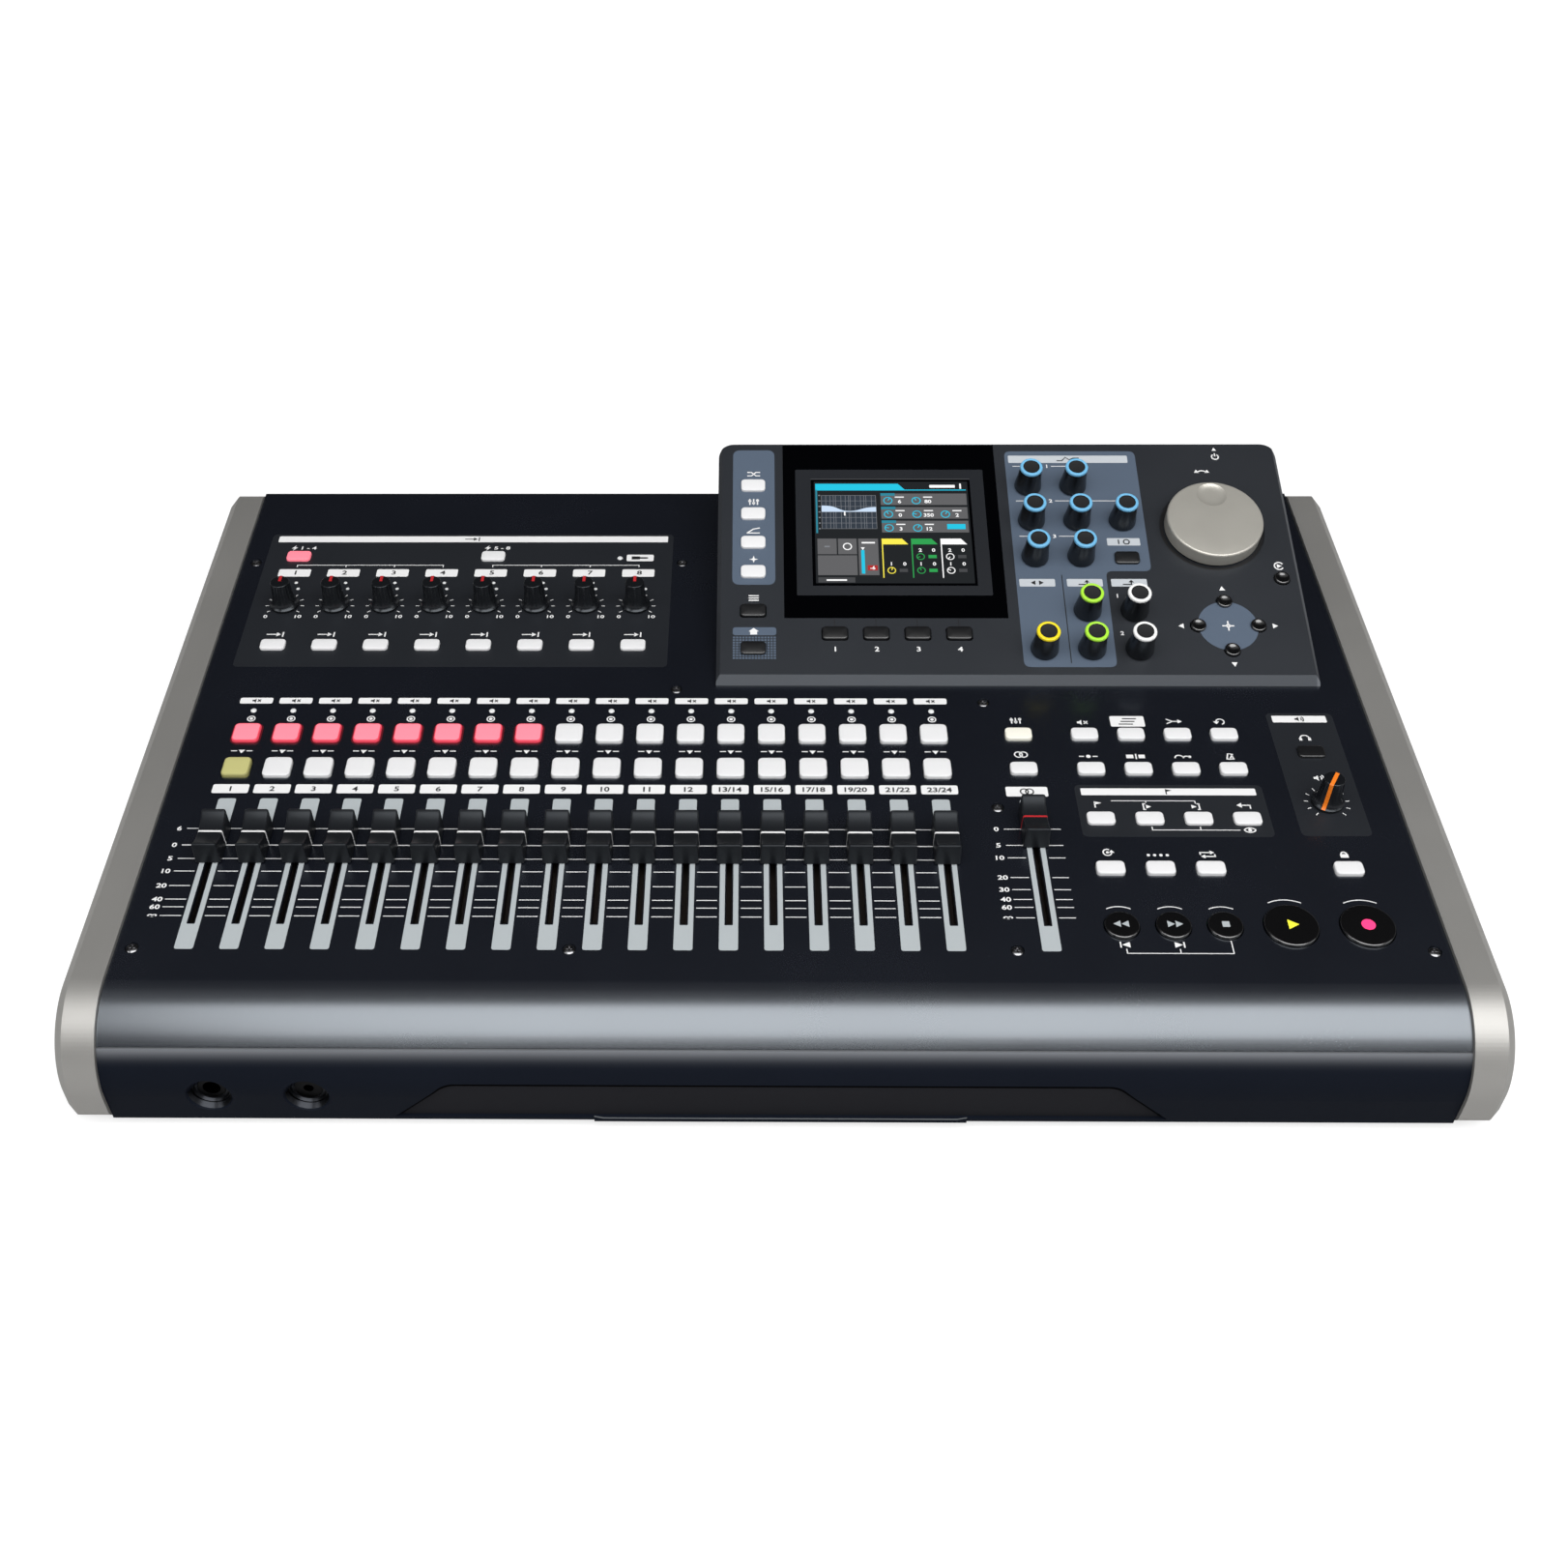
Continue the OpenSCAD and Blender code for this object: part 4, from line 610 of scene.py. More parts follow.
# Sockets: plated collars and coloured rings on black mouldings, told apart by their place along the rear
sockets = {"rear": 155.693, "ringEnd": 162.293, "far": 200, "high": 60, "line": (10, 80), "half": 6,
           "phono": (89.175, 102.175, 115.175), "port": (168, 180.5), "portZ": (16, 29),
           "phonoColors": ((0.75, 0.73, 0.7), (0.5, 0.02, 0.02), (0.85, 0.45, 0.03))}
plated = {"color": (0.55, 0.55, 0.53), "rough": 0.3, "metal": 1.0}


# Box between two x and two y, and from the table up past the sockets or between two heights.
def socketPatch(x, y, look, z=(0, sockets["high"])):
    (x0, x1), (y0, y1), (z0, z1) = x, y, z
    return patch((x0, y0, z0), (x1, y1, z1), **look)


behind = (sockets["rear"], sockets["far"])
phonoSides = [(x - sockets["half"], x + sockets["half"]) for x in sockets["phono"]]
socketPatches = [
    socketPatch(sockets["line"], behind, plated),
    *(socketPatch(side, (sockets["rear"], sockets["ringEnd"]), {"color": color, "rough": 0.4, "metal": 0.0})
      for side, color in zip(phonoSides, sockets["phonoColors"])),
    *(socketPatch(side, (sockets["ringEnd"], sockets["far"]), plated) for side in phonoSides),
    socketPatch(sockets["port"], behind, plated, sockets["portZ"]),
    # the front jacks
    socketPatch((-far, far), (-200, -100), {"color": (0.010, 0.0102, 0.011), "rough": 0.3, "metal": 1.0})]
socketBlack = finish("socketBlack", (0.012, 0.012, 0.013), rough=0.42, spec=0.45, shade=0.25,
                     patches=socketPatches)

carried = {"base_tray": sheetBlack, "rear_panel": sheetBlack, "top_panel": deckPaint,
           "left_cheek": cheekSilver, "right_cheek": cheekSilver, "front_fascia": fasciaPaint,
           "display_housing": consoleShell, "display_window": windowBlack, "screen_module": controlTin,
           "circuit_boards": boardGreen, "pots_and_encoders": controlTin, "sockets": socketBlack,
           "rubber_feet": rubberBlack, "power_button": glossBlack}
for nodeName, material in carried.items():
    nodes[nodeName].data.materials.clear()
    nodes[nodeName].data.materials.append(material)
print("carried nodes dressed,", len(carried))

# Screws: glossy domed heads with a cross recess, sunk in the deck and set up into the tray
screw = {"r": 2.35, "h": 1.0, "ball": 1.04, "sunk": -0.85, "neck": 1.3, "tip": -6.0, "cross": (0.34, 1.25),
         "deep": 0.5, "around": 48, "rings": 24, "inner": 0.1,
         "deck": ((-18.9, 94.4), (174.9, 94.4), (174.9, 8.15), (302.5, 0.0), (302.5, -61.05),
                  (-18.9, -133.6), (140.25, -133.6), (302.5, -133.6), (452.55, -133.6)),
         "tray": [(x, y) for x in (-229.725, 229.725) for y in (-153.198, 0.0, 142.043)], "trayZ": 4.5}


# Polar grid over the head: the height follows a circle's arc and drops inside two crossed bars.
# The first three rings are the shank and the head's underside.
def screwForm():
    r = np.concatenate([[screw["neck"], screw["neck"], screw["r"]],
                        np.linspace(screw["r"], screw["inner"], screw["rings"])])
    height = screw["h"] * np.sqrt(np.clip(1 - (r / (screw["ball"] * screw["r"])) ** 2, 0, 1))
    height[:3] = screw["tip"], 0.0, 0.0
    a = np.linspace(0, 2 * math.pi, screw["around"], endpoint=False)
    x, y = r[:, None] * np.cos(a), r[:, None] * np.sin(a)
    thin, long = screw["cross"]
    recess = (np.minimum(np.abs(x), np.abs(y)) < thin) & (np.maximum(np.abs(x), np.abs(y)) < long)
    recess[:3] = False
    n = height[:, None] - screw["deep"] * recess
    return ringShape(np.stack([x, y, n], -1), (0, 0, screw["h"] - screw["deep"]))


# A half turn about X under the tray.
def underTray(x, y, n):
    return np.stack([x, -y, screw["trayZ"] - n], -1) * mm


screwShape = screwForm()
makePiece("screwHeads", [placed(shift(repeated(screwShape, screw["deck"]), 0, 0, screw["sunk"]), onDeck),
                         placed(repeated(screwShape, [(x, -y) for x, y in screw["tray"]]), underTray)],
          [screwBlack], "case", ["screws"])
print("screws made")

# Bay: a matt face a hair over the bay's floor, with a painted shadow in the band below its edge, and a
# painted highlight on the lip's edge
bay = {"top": 119.5, "low": 139.0, "z": 24.5, "foot": 6.0, "depth": 1.5, "corner": 9.0, "band": 2.3,
       "over": 0.05, "stations": ((0, 112, 15), (114, 124, 21), (125, 138.9, 12)), "rows": 6, "bandRows": 3}
lip = {"half": 67.0, "wide": 0.55, "z": 6.03, "out": 0.6, "rise": 0.9, "bend": 3.0, "steps": 40}


# Height of the bay's edge over x: level, then the corner's circle, then a straight slant.
def bayEdge(x):
    slant = math.atan2(bay["z"] - bay["foot"], bay["low"] - bay["top"])
    cut = bay["corner"] * math.tan(slant / 2)
    a, r = np.abs(x), bay["corner"]
    circle = bay["z"] - r + np.sqrt(np.clip(r ** 2 - np.clip(a - bay["top"] + cut, 0, r) ** 2, 0, None))
    straight = bay["z"] - (a - bay["top"]) * math.tan(slant)
    return np.where(a < bay["top"] + cut * math.cos(slant), circle, straight)


# Grid over x and a share of the height: rows up to the band, then rows across it, on the recessed fascia; the
# band's rows take the painted shadow.
def bayForm():
    side = np.concatenate([np.linspace(*q) for q in bay["stations"]])
    x = np.concatenate([-side[:0:-1], side])
    edge = bayEdge(x)
    under = np.maximum(edge - bay["band"], bay["foot"])
    share = np.linspace(0, 1, bay["rows"] + 1)[:, None]
    band = np.linspace(0, 1, bay["bandRows"] + 1)[1:, None]
    z = np.vstack([bay["foot"] + share * (under - bay["foot"]), under + band * (edge - under)])
    points = onFascia(np.broadcast_to(x, z.shape), z, bay["over"] - bay["depth"]).reshape(-1, 3)
    row = np.repeat(np.arange(len(z) - 1), len(x) - 1)
    return shapeOf(points, (gridQuads(len(z), len(x), closed=False), np.where(row < bay["rows"], 0, 1)))


# Level ribbon before the fascia's foot, a painted highlight on the lip's edge: its ends turn up along a
# square curve.
def lipForm():
    x = np.linspace(-lip["half"], lip["half"], lip["steps"])
    rise = lip["rise"] * np.clip((np.abs(x) - lip["half"] + lip["bend"]) / lip["bend"], 0, 1) ** 2
    front = onFascia(x, lip["z"])[:, 1] - lip["out"] * mm
    points = [np.column_stack([x * mm, front + q * mm, (lip["z"] + rise) * mm]) for q in (0.0, lip["wide"])]
    return shapeOf(np.vstack(points), (gridQuads(2, lip["steps"], closed=False), 2))


makePiece("bayFace", [bayForm(), lipForm()], [bayBlack, bayEdgeShadow, lipHighlight], "case")
print("bay made")

# Keys: rounded tops that swell a little, standing in the panel's holes
keys = {"pitch": 16.5, "count": 18, "recRow": -19.7, "selectRow": -39.8, "pad": (11.0, 10.6),
        "small": (10.8, 6.6), "corner": 1.7, "padCorner": 2.0, "padSwell": 0.22, "swell": 0.18, "edge": 0.55,
        "rim": 5, "dome": ((1.3, 0.5), (2.2, 0.85), (2.9, 1.0)), "leak": 0.7, "proud": 1.3, "foot": -3.3,
        "litRec": 8}


# Straight side, quarter round edge, and a top that rises by shares of the swell at steps inwards.
def keyProfile(swell):
    inset, drop = quarterRound(keys["edge"])
    dome = [(d, keys["proud"] + share * swell) for d, share in keys["dome"]]
    return np.vstack([[(0, keys["foot"])], np.stack([inset, keys["proud"] - drop], -1), dome])


padProfile = keyProfile(keys["padSwell"])
# the rims of the lit keys take darker copies of their colours, a painted shade
rimTags = 3 * (np.arange(len(padProfile) - 1) < keys["rim"])        # the rim's faces take the edge colours
padShape = pillow(*keys["pad"], keys["padCorner"], padProfile, rimTags)
smallShape = pillow(*keys["small"], keys["corner"], keyProfile(keys["swell"]))
order = np.arange(keys["count"])
channels = order * keys["pitch"]
recPlaces, selectPlaces = rowOf(channels, keys["recRow"]), rowOf(channels, keys["selectRow"])
padTags = np.concatenate([np.where(order < keys["litRec"], 1, 0), np.where(order < 1, 2, 0)])
padPlaces = np.vstack([recPlaces, selectPlaces])
dress("channelKeys", "channel_keys", [repeated(padShape, padPlaces, padTags)], onDeck,
      [keyWhite, keyPink, keyOlive, keyWhite, keyPinkShadedRim, keyOliveShadedRim])

functionGrid = {"x": 341.7, "pitch": 18.85, "rows": (-19.7, -39.8, -67.6), "punch": -93.6, "stereo": 314.9,
                "monitor": (431.15, -30.1), "safe": (431.15, -93.6), "source": 36.0, "inputPitch": 22.2,
                "phantom": 98.4}
functionX = functionGrid["x"] + functionGrid["pitch"] * np.arange(4)
inputX = functionGrid["inputPitch"] * np.arange(8)
deckKeyPlaces = np.vstack([
    rowOf(inputX, functionGrid["source"]), rowOf(inputX[[0, 4]], functionGrid["phantom"]),
    *(rowOf(functionX, s) for s in functionGrid["rows"]), rowOf(functionX[:3], functionGrid["punch"]),
    functionGrid["safe"], *((functionGrid["stereo"], keys[row]) for row in ("recRow", "selectRow")),
    functionGrid["monitor"]])
deckKeyTags = np.zeros(len(deckKeyPlaces), int)
deckKeyTags[[8, -3, -1]] = [1, 2, 3]                       # lit phantom key, warm key, black monitor key
dress("deckKeys", "deck_keys", [repeated(smallShape, deckKeyPlaces, deckKeyTags)], onDeck,
      [keyWhite, keyPink, keyWarm, keyBlack])

consoleGrid = {"modeX": 207.1, "modeV": (13.2, 33.0, *(53.9 + 16.2 * k for k in range(4))), "softX": 241.8,
               "softStep": 17.6, "softV": 21.0, "switch": (369.9, 61.5), "jog": (408.9, 78.0),
               "cursorV": 25.3, "cursorR": 12.7, "jogPlay": (435.5, 50.5)}
softX = consoleGrid["softX"] + consoleGrid["softStep"] * np.arange(4)
consoleKeyPlaces = np.vstack([*((consoleGrid["modeX"], v) for v in consoleGrid["modeV"]),
                              rowOf(softX, consoleGrid["softV"]), consoleGrid["switch"]])
consoleKeyTags = np.array([1, 1, 0, 0, 0, 0, 1, 1, 1, 1, 1])     # four mode keys are white, the others black
jogX, cursorV = consoleGrid["jog"][0], consoleGrid["cursorV"]
dotPlaces = np.vstack([curveOf(jogX, cursorV, consoleGrid["cursorR"], 0, 270, 4), consoleGrid["jogPlay"]])

# Round buttons: a side, an oval edge, and a hollow that follows the square of the share of its radius
dots = {"r": 3.3, "side": 0.7, "edgeIn": 0.5, "edgeUp": 0.6, "hollow": 0.55, "hollowR": 0.75,
        "turns": np.linspace(0.3, math.pi / 2, 4), "steps": (0.72, 0.55, 0.35, 0.15), "around": 28}


def dotProfile():
    r, side, top = dots["r"], dots["side"], dots["side"] + dots["edgeUp"]
    edge = [(r - dots["edgeIn"] * (1 - math.cos(a)), side + dots["edgeUp"] * math.sin(a))
            for a in dots["turns"]]
    hollow = [(r * q, top - dots["hollow"] * (1 - (q / dots["hollowR"]) ** 2)) for q in dots["steps"]]
    return [(r, keys["foot"]), (r, side), *edge, *hollow]


dress("consoleKeys", "console_keys", [repeated(smallShape, consoleKeyPlaces, consoleKeyTags),
                                      repeated(turned(dotProfile(), dots["around"], 2), dotPlaces)],
      onConsole, [keyWhite, keyBlack, glossBlack])
print("keys made")

# Transport buttons: gloss discs with a rounded edge, and their painted signs
transport = {"row": -122.2, "smallR": 6.4, "playR": 9.9, "playX": 403.35, "recordX": 431.15, "proud": 1.3,
             "edge": 0.6, "crown": 0.15, "sink": 0.02, "steps": (0.85, 0.6, 0.3, 0.1), "signUp": 0.2,
             "arrow": 1.8, "arrowGap": 1.5, "stop": 2.7, "stopCorner": 0.2, "play": 2.7, "record": 2.55,
             "around": (40, 56)}


# Straight side, quarter round edge, and a top that rises by the crown times one less the squared share of r.
def discProfile(r):
    inset, drop = quarterRound(transport["edge"])
    top = [(r * q, transport["proud"] + transport["crown"] * (1 - q ** 2) - transport["sink"])
           for q in transport["steps"]]
    return np.vstack([[(r, keys["foot"])], np.stack([r - inset, transport["proud"] - drop], -1), top])


def transportSigns():
    s, lift = transport["row"], transport["proud"] + transport["signUp"]
    back, ahead, stop = functionX[:3]
    gap = transport["arrowGap"]
    shapes = [triangle(x + d, s, transport["arrow"], turn, lift, 1)
              for x, turn in ((back, 180), (ahead, 0)) for d in (-gap, gap)]
    side = transport["stop"]
    return shapes + [bar(*about(stop, s, side, side), lift, 1, transport["stopCorner"]),
                     triangle(transport["playX"], s, transport["play"], 0, lift, 2),
                     disc(transport["recordX"], s, transport["record"], lift, 3)]


buttonRows = (("smallR", functionX[:3]), ("playR", [transport["playX"], transport["recordX"]]))
transportShapes = [repeated(turned(discProfile(transport[r]), around), rowOf(xs, transport["row"]))
                   for (r, xs), around in zip(buttonRows, transport["around"])]
dress("transportButtons", "transport_buttons", transportShapes + transportSigns(), onDeck,
      [glossBlack, printGrey, iconYellow, iconPink])
print("transport buttons made")

# Fader caps: a rounded block along the deck with a finger hollow, and a painted line across its lowest part
fader = {"row": -82.3, "w": 9.8, "l": 19.4, "h": 10.3, "dip": 2.6, "land": 0.9, "foot": 0.6, "round": 0.7,
         "draft": 0.35, "line": 0.42, "stations": (1.2, 9), "lever": (1.0, 4.0, 0.3, 3), "leverLow": -6.1,
         "stereoX": 314.9, "stereoLift": 8.8}


# Cap surface: at each station along s a section that goes up one side, over two rounded edges and down the
# other. The top follows a circle that dips in the middle, and the ends are pulled in by the same rounding.
def capShape():
    e, half = fader["round"], fader["l"] / 2
    hollow = half - fader["land"]
    radius = (hollow ** 2 + fader["dip"] ** 2) / (2 * fader["dip"])
    inset, drop = quarterRound(e)
    first, count = fader["stations"]
    reach = np.concatenate([[fader["line"]], np.linspace(first, hollow, count), half - drop])
    s = np.unique(np.round(np.concatenate([-reach, reach]), 5))
    past = np.clip(np.abs(s) - (half - e), 0, e)
    pull = e - np.sqrt(np.maximum(e ** 2 - past ** 2, 0))
    dip = np.where(np.abs(s) < hollow, fader["dip"] - (radius - np.sqrt(radius ** 2 - s ** 2)), 0.0)
    top = fader["h"] - dip - pull
    # half a section: the foot, then the edge, mirrored for the other side
    n = np.column_stack([np.full(len(s), fader["foot"]), top[:, None] - drop])
    lean = fader["draft"] * (n - fader["foot"]) / fader["h"]
    x = fader["w"] / 2 - np.append(0.0, inset) - lean - pull[:, None]
    x, n = np.hstack([-x, x[:, ::-1]]), np.hstack([n, n[:, ::-1]])
    points = np.stack([x, np.broadcast_to(s[:, None], x.shape), n], -1)
    rows, cols = x.shape
    middle = np.repeat((s[:-1] + s[1:]) / 2, cols - 1)
    ends = np.stack([np.arange(cols), rows * cols - 1 - np.arange(cols)])
    return shapeOf(points.reshape(-1, 3), (gridQuads(rows, cols, closed=False)[:, ::-1],
                                           np.where(np.abs(middle) < fader["line"], 1, 0)), (ends, 0))


# Straight walls of the lever between its low end and the cap's foot.
def leverShape():
    outline = roundedOutline(*fader["lever"])
    points = np.vstack([level(outline, n) for n in (fader["leverLow"], fader["foot"])])
    return shapeOf(points, (gridQuads(2, len(outline)), 0))


capAndLever = joined([capShape(), leverShape()])
for k, x in enumerate(channels):
    dress(f"faderCap{k + 1}", f"fader_{k + 1}", [shift(capAndLever, x, fader["row"])], onDeck,
          [capBlack, printWhite])
stereoCap = shift(capAndLever, fader["stereoX"], fader["row"] + fader["stereoLift"])
dress("stereoFaderCap", "stereo_fader", [stereoCap], onDeck, [capBlack, pointerRed])
print("fader caps made")

# Trim knobs: a flared skirt under a fluted grip, and a painted pointer over the crown
trim = {"row": 63.6, "r": 6.3, "top": 4.1, "h": 13.3, "lift": 0.5, "skirt": 0.9, "hem": (0.15, 0.2),
        "crown": 0.45, "crownIn": 0.5, "rings": 18, "closer": 1.7, "taper": (0.8, 1.3), "spread": (1.4, 9),
        "shaft": (3.0, -7.0), "around": 80, "flutes": 10, "depth": 0.055, "wave": (1.6, 0.4),
        "fluteFrom": (4.0, 3.0), "fluteTo": (0.1, 0.6), "pointer": 0.16, "up": (0.3, 1.0),
        "mark": {"start": 0.2, "down": 9.5, "wide": 1.25}, "monitor": (431.15, -58.3), "monitorTurn": 150,
        "monitorMark": {"start": -3.4, "down": 1.2, "wide": 1.5}}


# Shaft and skirt, then a grip whose radius falls to the top's by two powers of the share of height left,
# then a quarter round crown.
def trimProfile():
    shaft, low = trim["shaft"]
    hemIn, hemUp = trim["hem"]
    skirt = [(shaft, low), (shaft, trim["lift"]), (trim["r"] - hemIn, trim["lift"]),
             (trim["r"], trim["lift"] + hemUp)]
    t = np.linspace(0, 1, trim["rings"]) ** trim["closer"]
    flare = trim["top"] + sum(size * (1 - t) ** power for size, power in (trim["taper"], trim["spread"]))
    start = trim["lift"] + trim["skirt"]
    grip = np.stack([flare, start + (trim["h"] - trim["crown"] - start) * t], -1)
    inset, drop = quarterRound(trim["crown"])
    crown = np.stack([trim["top"] - inset, trim["h"] - drop], -1)[1:]
    return np.vstack([skirt, grip, crown, [(trim["top"] * trim["crownIn"], trim["h"])]])


# Flutes: the radius dips along a raised cosine, fading in above the skirt and out at the crown.
def flutes(a, z):
    (low, rise), (end, fall), (gain, less) = trim["fluteFrom"], trim["fluteTo"], trim["wave"]
    fade = np.clip((z - low) / rise, 0, 1) * np.clip((trim["h"] - end - z) / fall, 0, 1)
    turn = a - math.pi / 2 - math.pi / trim["flutes"]
    return 1 - trim["depth"] * fade * np.clip(np.cos(trim["flutes"] * turn) * gain - less, 0, 1)


# Pointer: a band of even width along the knob's profile, from the crown over its edge and down a side.
def pointerBand(start, down, wide):
    side = trimProfile()[4:]                               # what is above the skirt
    path = np.vstack([[(start, trim["h"])], side[side[:, 1] >= down][::-1][1:]])
    step = np.gradient(path, axis=0)
    normal = np.stack([-step[:, 1], step[:, 0]], -1)
    normal /= np.linalg.norm(normal, axis=1, keepdims=True)
    outwards = np.where(normal @ trim["up"] > 0, 1, -1)[:, None]
    out = path + outwards * normal * trim["pointer"]
    y = np.stack([path, out, out, path], 1)
    x = np.broadcast_to(np.array([-wide, -wide, wide, wide]) / 2, y.shape[:2])
    points = np.dstack([x, y]).reshape(-1, 3)
    return shapeOf(points, (gridQuads(len(path), 4, closed=False), 1), ([[0, 1, 2, 3]], 1))


# A turn about the shape's own axis.
def spun(shape, degrees):
    c, q = math.cos(math.radians(degrees)), math.sin(math.radians(degrees))
    return {"points": shape["points"] @ np.array([[c, q, 0], [-q, c, 0], [0, 0, 1]]), "sets": shape["sets"]}


knobForm = turned(trimProfile(), trim["around"], ripple=flutes)
trimKnob = joined([knobForm, pointerBand(**trim["mark"])])
for k, x in enumerate(inputX):
    dress(f"trimKnob{k + 1}", f"trim_knob_{k + 1}", [shift(trimKnob, x, trim["row"])], onDeck,
          [knobBlack, pointerRed])
monitorKnob = spun(joined([knobForm, pointerBand(**trim["monitorMark"])]), trim["monitorTurn"])
dress("monitorKnob", "monitor_knob", [shift(monitorKnob, *trim["monitor"])], onDeck,
      [knobBlack, pointerOrange])
print("trim and monitor knobs made")

# Encoders: tapered grip, coloured ring with a rounded edge, and a dished top
encoder = {"r": 6.0, "ring": 5.0, "h": 13.5, "lift": 0.5, "hem": (0.2, 0.25), "ringTall": 1.7,
           "ringWide": 1.35, "ringRound": 0.55, "bands": 9, "dish": 0.55, "shaft": (3.0, -7.2), "around": 56,
           # insets from the foot's radius or steps out from the ring's, and heights
           "foot": (0.12, 2.2), "waist": (0.25, 6.5), "neck": (-0.15, -0.1),
           # radii as added to or shares of the ring's inner radius, and drops from the top or the dish
           "ringTop": ((0.3, 0.02), (0.0, 0.12)), "wall": -0.15, "dishSteps": ((0.6, 0.12), (0.2, 0.16)),
           "places": ((329.9, 102.3), (349.9, 102.3), (329.9, 82.3), (349.9, 82.3), (369.9, 82.3),
                      (329.9, 62.3), (349.9, 62.3), (329.9, 13.0), (349.9, 33.0), (349.9, 13.0),
                      (369.9, 33.0), (369.9, 13.0)),
           "rings": (ringBlue,) * 7 + (ringYellow, ringLime, ringLime, ringWhite, ringWhite)}


# Turned profile: shaft, grip, a ring whose edge is half an oval, and the dish inside it.
def encoderForm():
    e, (shaft, low), (hemIn, hemUp) = encoder, encoder["shaft"], encoder["hem"]
    tall, ringLow, floor = e["ringTall"] / 2, e["h"] - e["ringTall"], e["h"] - e["dish"]
    body = [(shaft, low), (shaft, e["lift"]), (e["r"] - hemIn, e["lift"]), (e["r"], e["lift"] + hemUp),
            (e["r"] - e["foot"][0], e["foot"][1]), (e["ring"] + e["waist"][0], e["waist"][1]),
            (e["ring"] + e["neck"][0], ringLow + e["neck"][1])]
    a = np.linspace(-math.pi / 2, math.pi / 2, e["bands"])
    bulge = np.stack([e["ring"] - e["ringRound"] * (1 - np.cos(a)), ringLow + tall * (1 + np.sin(a))], -1)
    inner = e["ring"] - e["ringWide"]
    top = [*((inner + q, e["h"] - drop) for q, drop in e["ringTop"]), (inner + e["wall"], floor),
           *((inner * q, floor - drop) for q, drop in e["dishSteps"])]
    tags = np.repeat([0, 1, 2], [len(body), len(bulge) + 1, len(top) - 2])
    return turned(np.vstack([body, bulge, top]), e["around"], tags)


encoderShape = encoderForm()
for k, (x, v) in enumerate(encoder["places"]):
    dress(f"encoderKnob{k + 1}", f"encoder_knob_{k + 1}", [shift(encoderShape, x, v)], onConsole,
          [knobBlack, encoder["rings"][k], knobTop])
print("encoders made")

# Jog wheel: turned disc with a rounded rim, and a round finger dimple near the edge of its crowned top
jog = {"r": 20.9, "h": 8.0, "lift": 0.5, "hem": 0.3, "rim": 1.0, "crown": 0.6, "dimple": (13.1, 6.6, 1.0),
       "shaft": (3.0, -7.2), "around": 128, "rimRings": 7, "topRings": 6, "bowlRings": 9, "bowlEnd": 0.04}


# Rings, from the shaft outwards over the rim, then inwards: each ring of the top lies between the rim's
# circle and the dimple's. The height falls by the crown times the squared share of the wheel's radius, and
# inside the dimple by its depth times one less the fourth power of the share of its radius.
def jogForm():
    away, width, depth = jog["dimple"]
    flat = jog["r"] - jog["rim"]
    body = [jog["shaft"], (jog["shaft"][0], jog["lift"]), (jog["r"] - jog["hem"], jog["lift"]),
            (jog["r"], jog["lift"] + jog["hem"])]
    inset, drop = quarterRound(jog["rim"], jog["rimRings"])
    outer = np.vstack([body, np.stack([jog["r"] - inset, jog["h"] - drop], -1)])
    share = np.linspace(0, 1, jog["topRings"] + 1)[1:]
    bowl = np.linspace(1, jog["bowlEnd"], jog["bowlRings"] + 1)[1:]
    radius = np.concatenate([outer[:, 0], flat + share * (width - flat), width * bowl])[:, None]
    height = np.concatenate([outer[:, 1], np.full(len(share), jog["h"]), jog["h"] - depth * (1 - bowl ** 4)])
    centre = np.concatenate([np.zeros(len(outer)), share * away, np.full(len(bowl), away)])
    turn = np.linspace(0, 2 * math.pi, jog["around"], endpoint=False)
    x, y = radius * np.cos(turn), centre[:, None] + radius * np.sin(turn)
    sag = jog["crown"] * np.minimum((x ** 2 + y ** 2) / flat ** 2, 1)
    sag[:len(body)] = 0
    tip = (0, away, jog["h"] - depth - jog["crown"] * (away / flat) ** 2)
    return ringShape(np.stack([x, y, height[:, None] - sag], -1), tip)


dress("jogWheel", "jog_wheel", [shift(jogForm(), *consoleGrid["jog"])], onConsole, [jogSilver],
      smooth=20)
print("jog wheel made")

# A print is made of rows: a maker, its values, a layer, an ink and what else the maker takes.
# Each layer is a step higher, so that a mark lies a hair above what it is printed on.
def drawn(rows, sheet, inks):
    number = {name: k for k, name in enumerate(inks)}
    return [make(*values, sheet["lift"] + sheet["step"] * layer, number[ink], *more)
            for make, values, layer, ink, *more in rows]


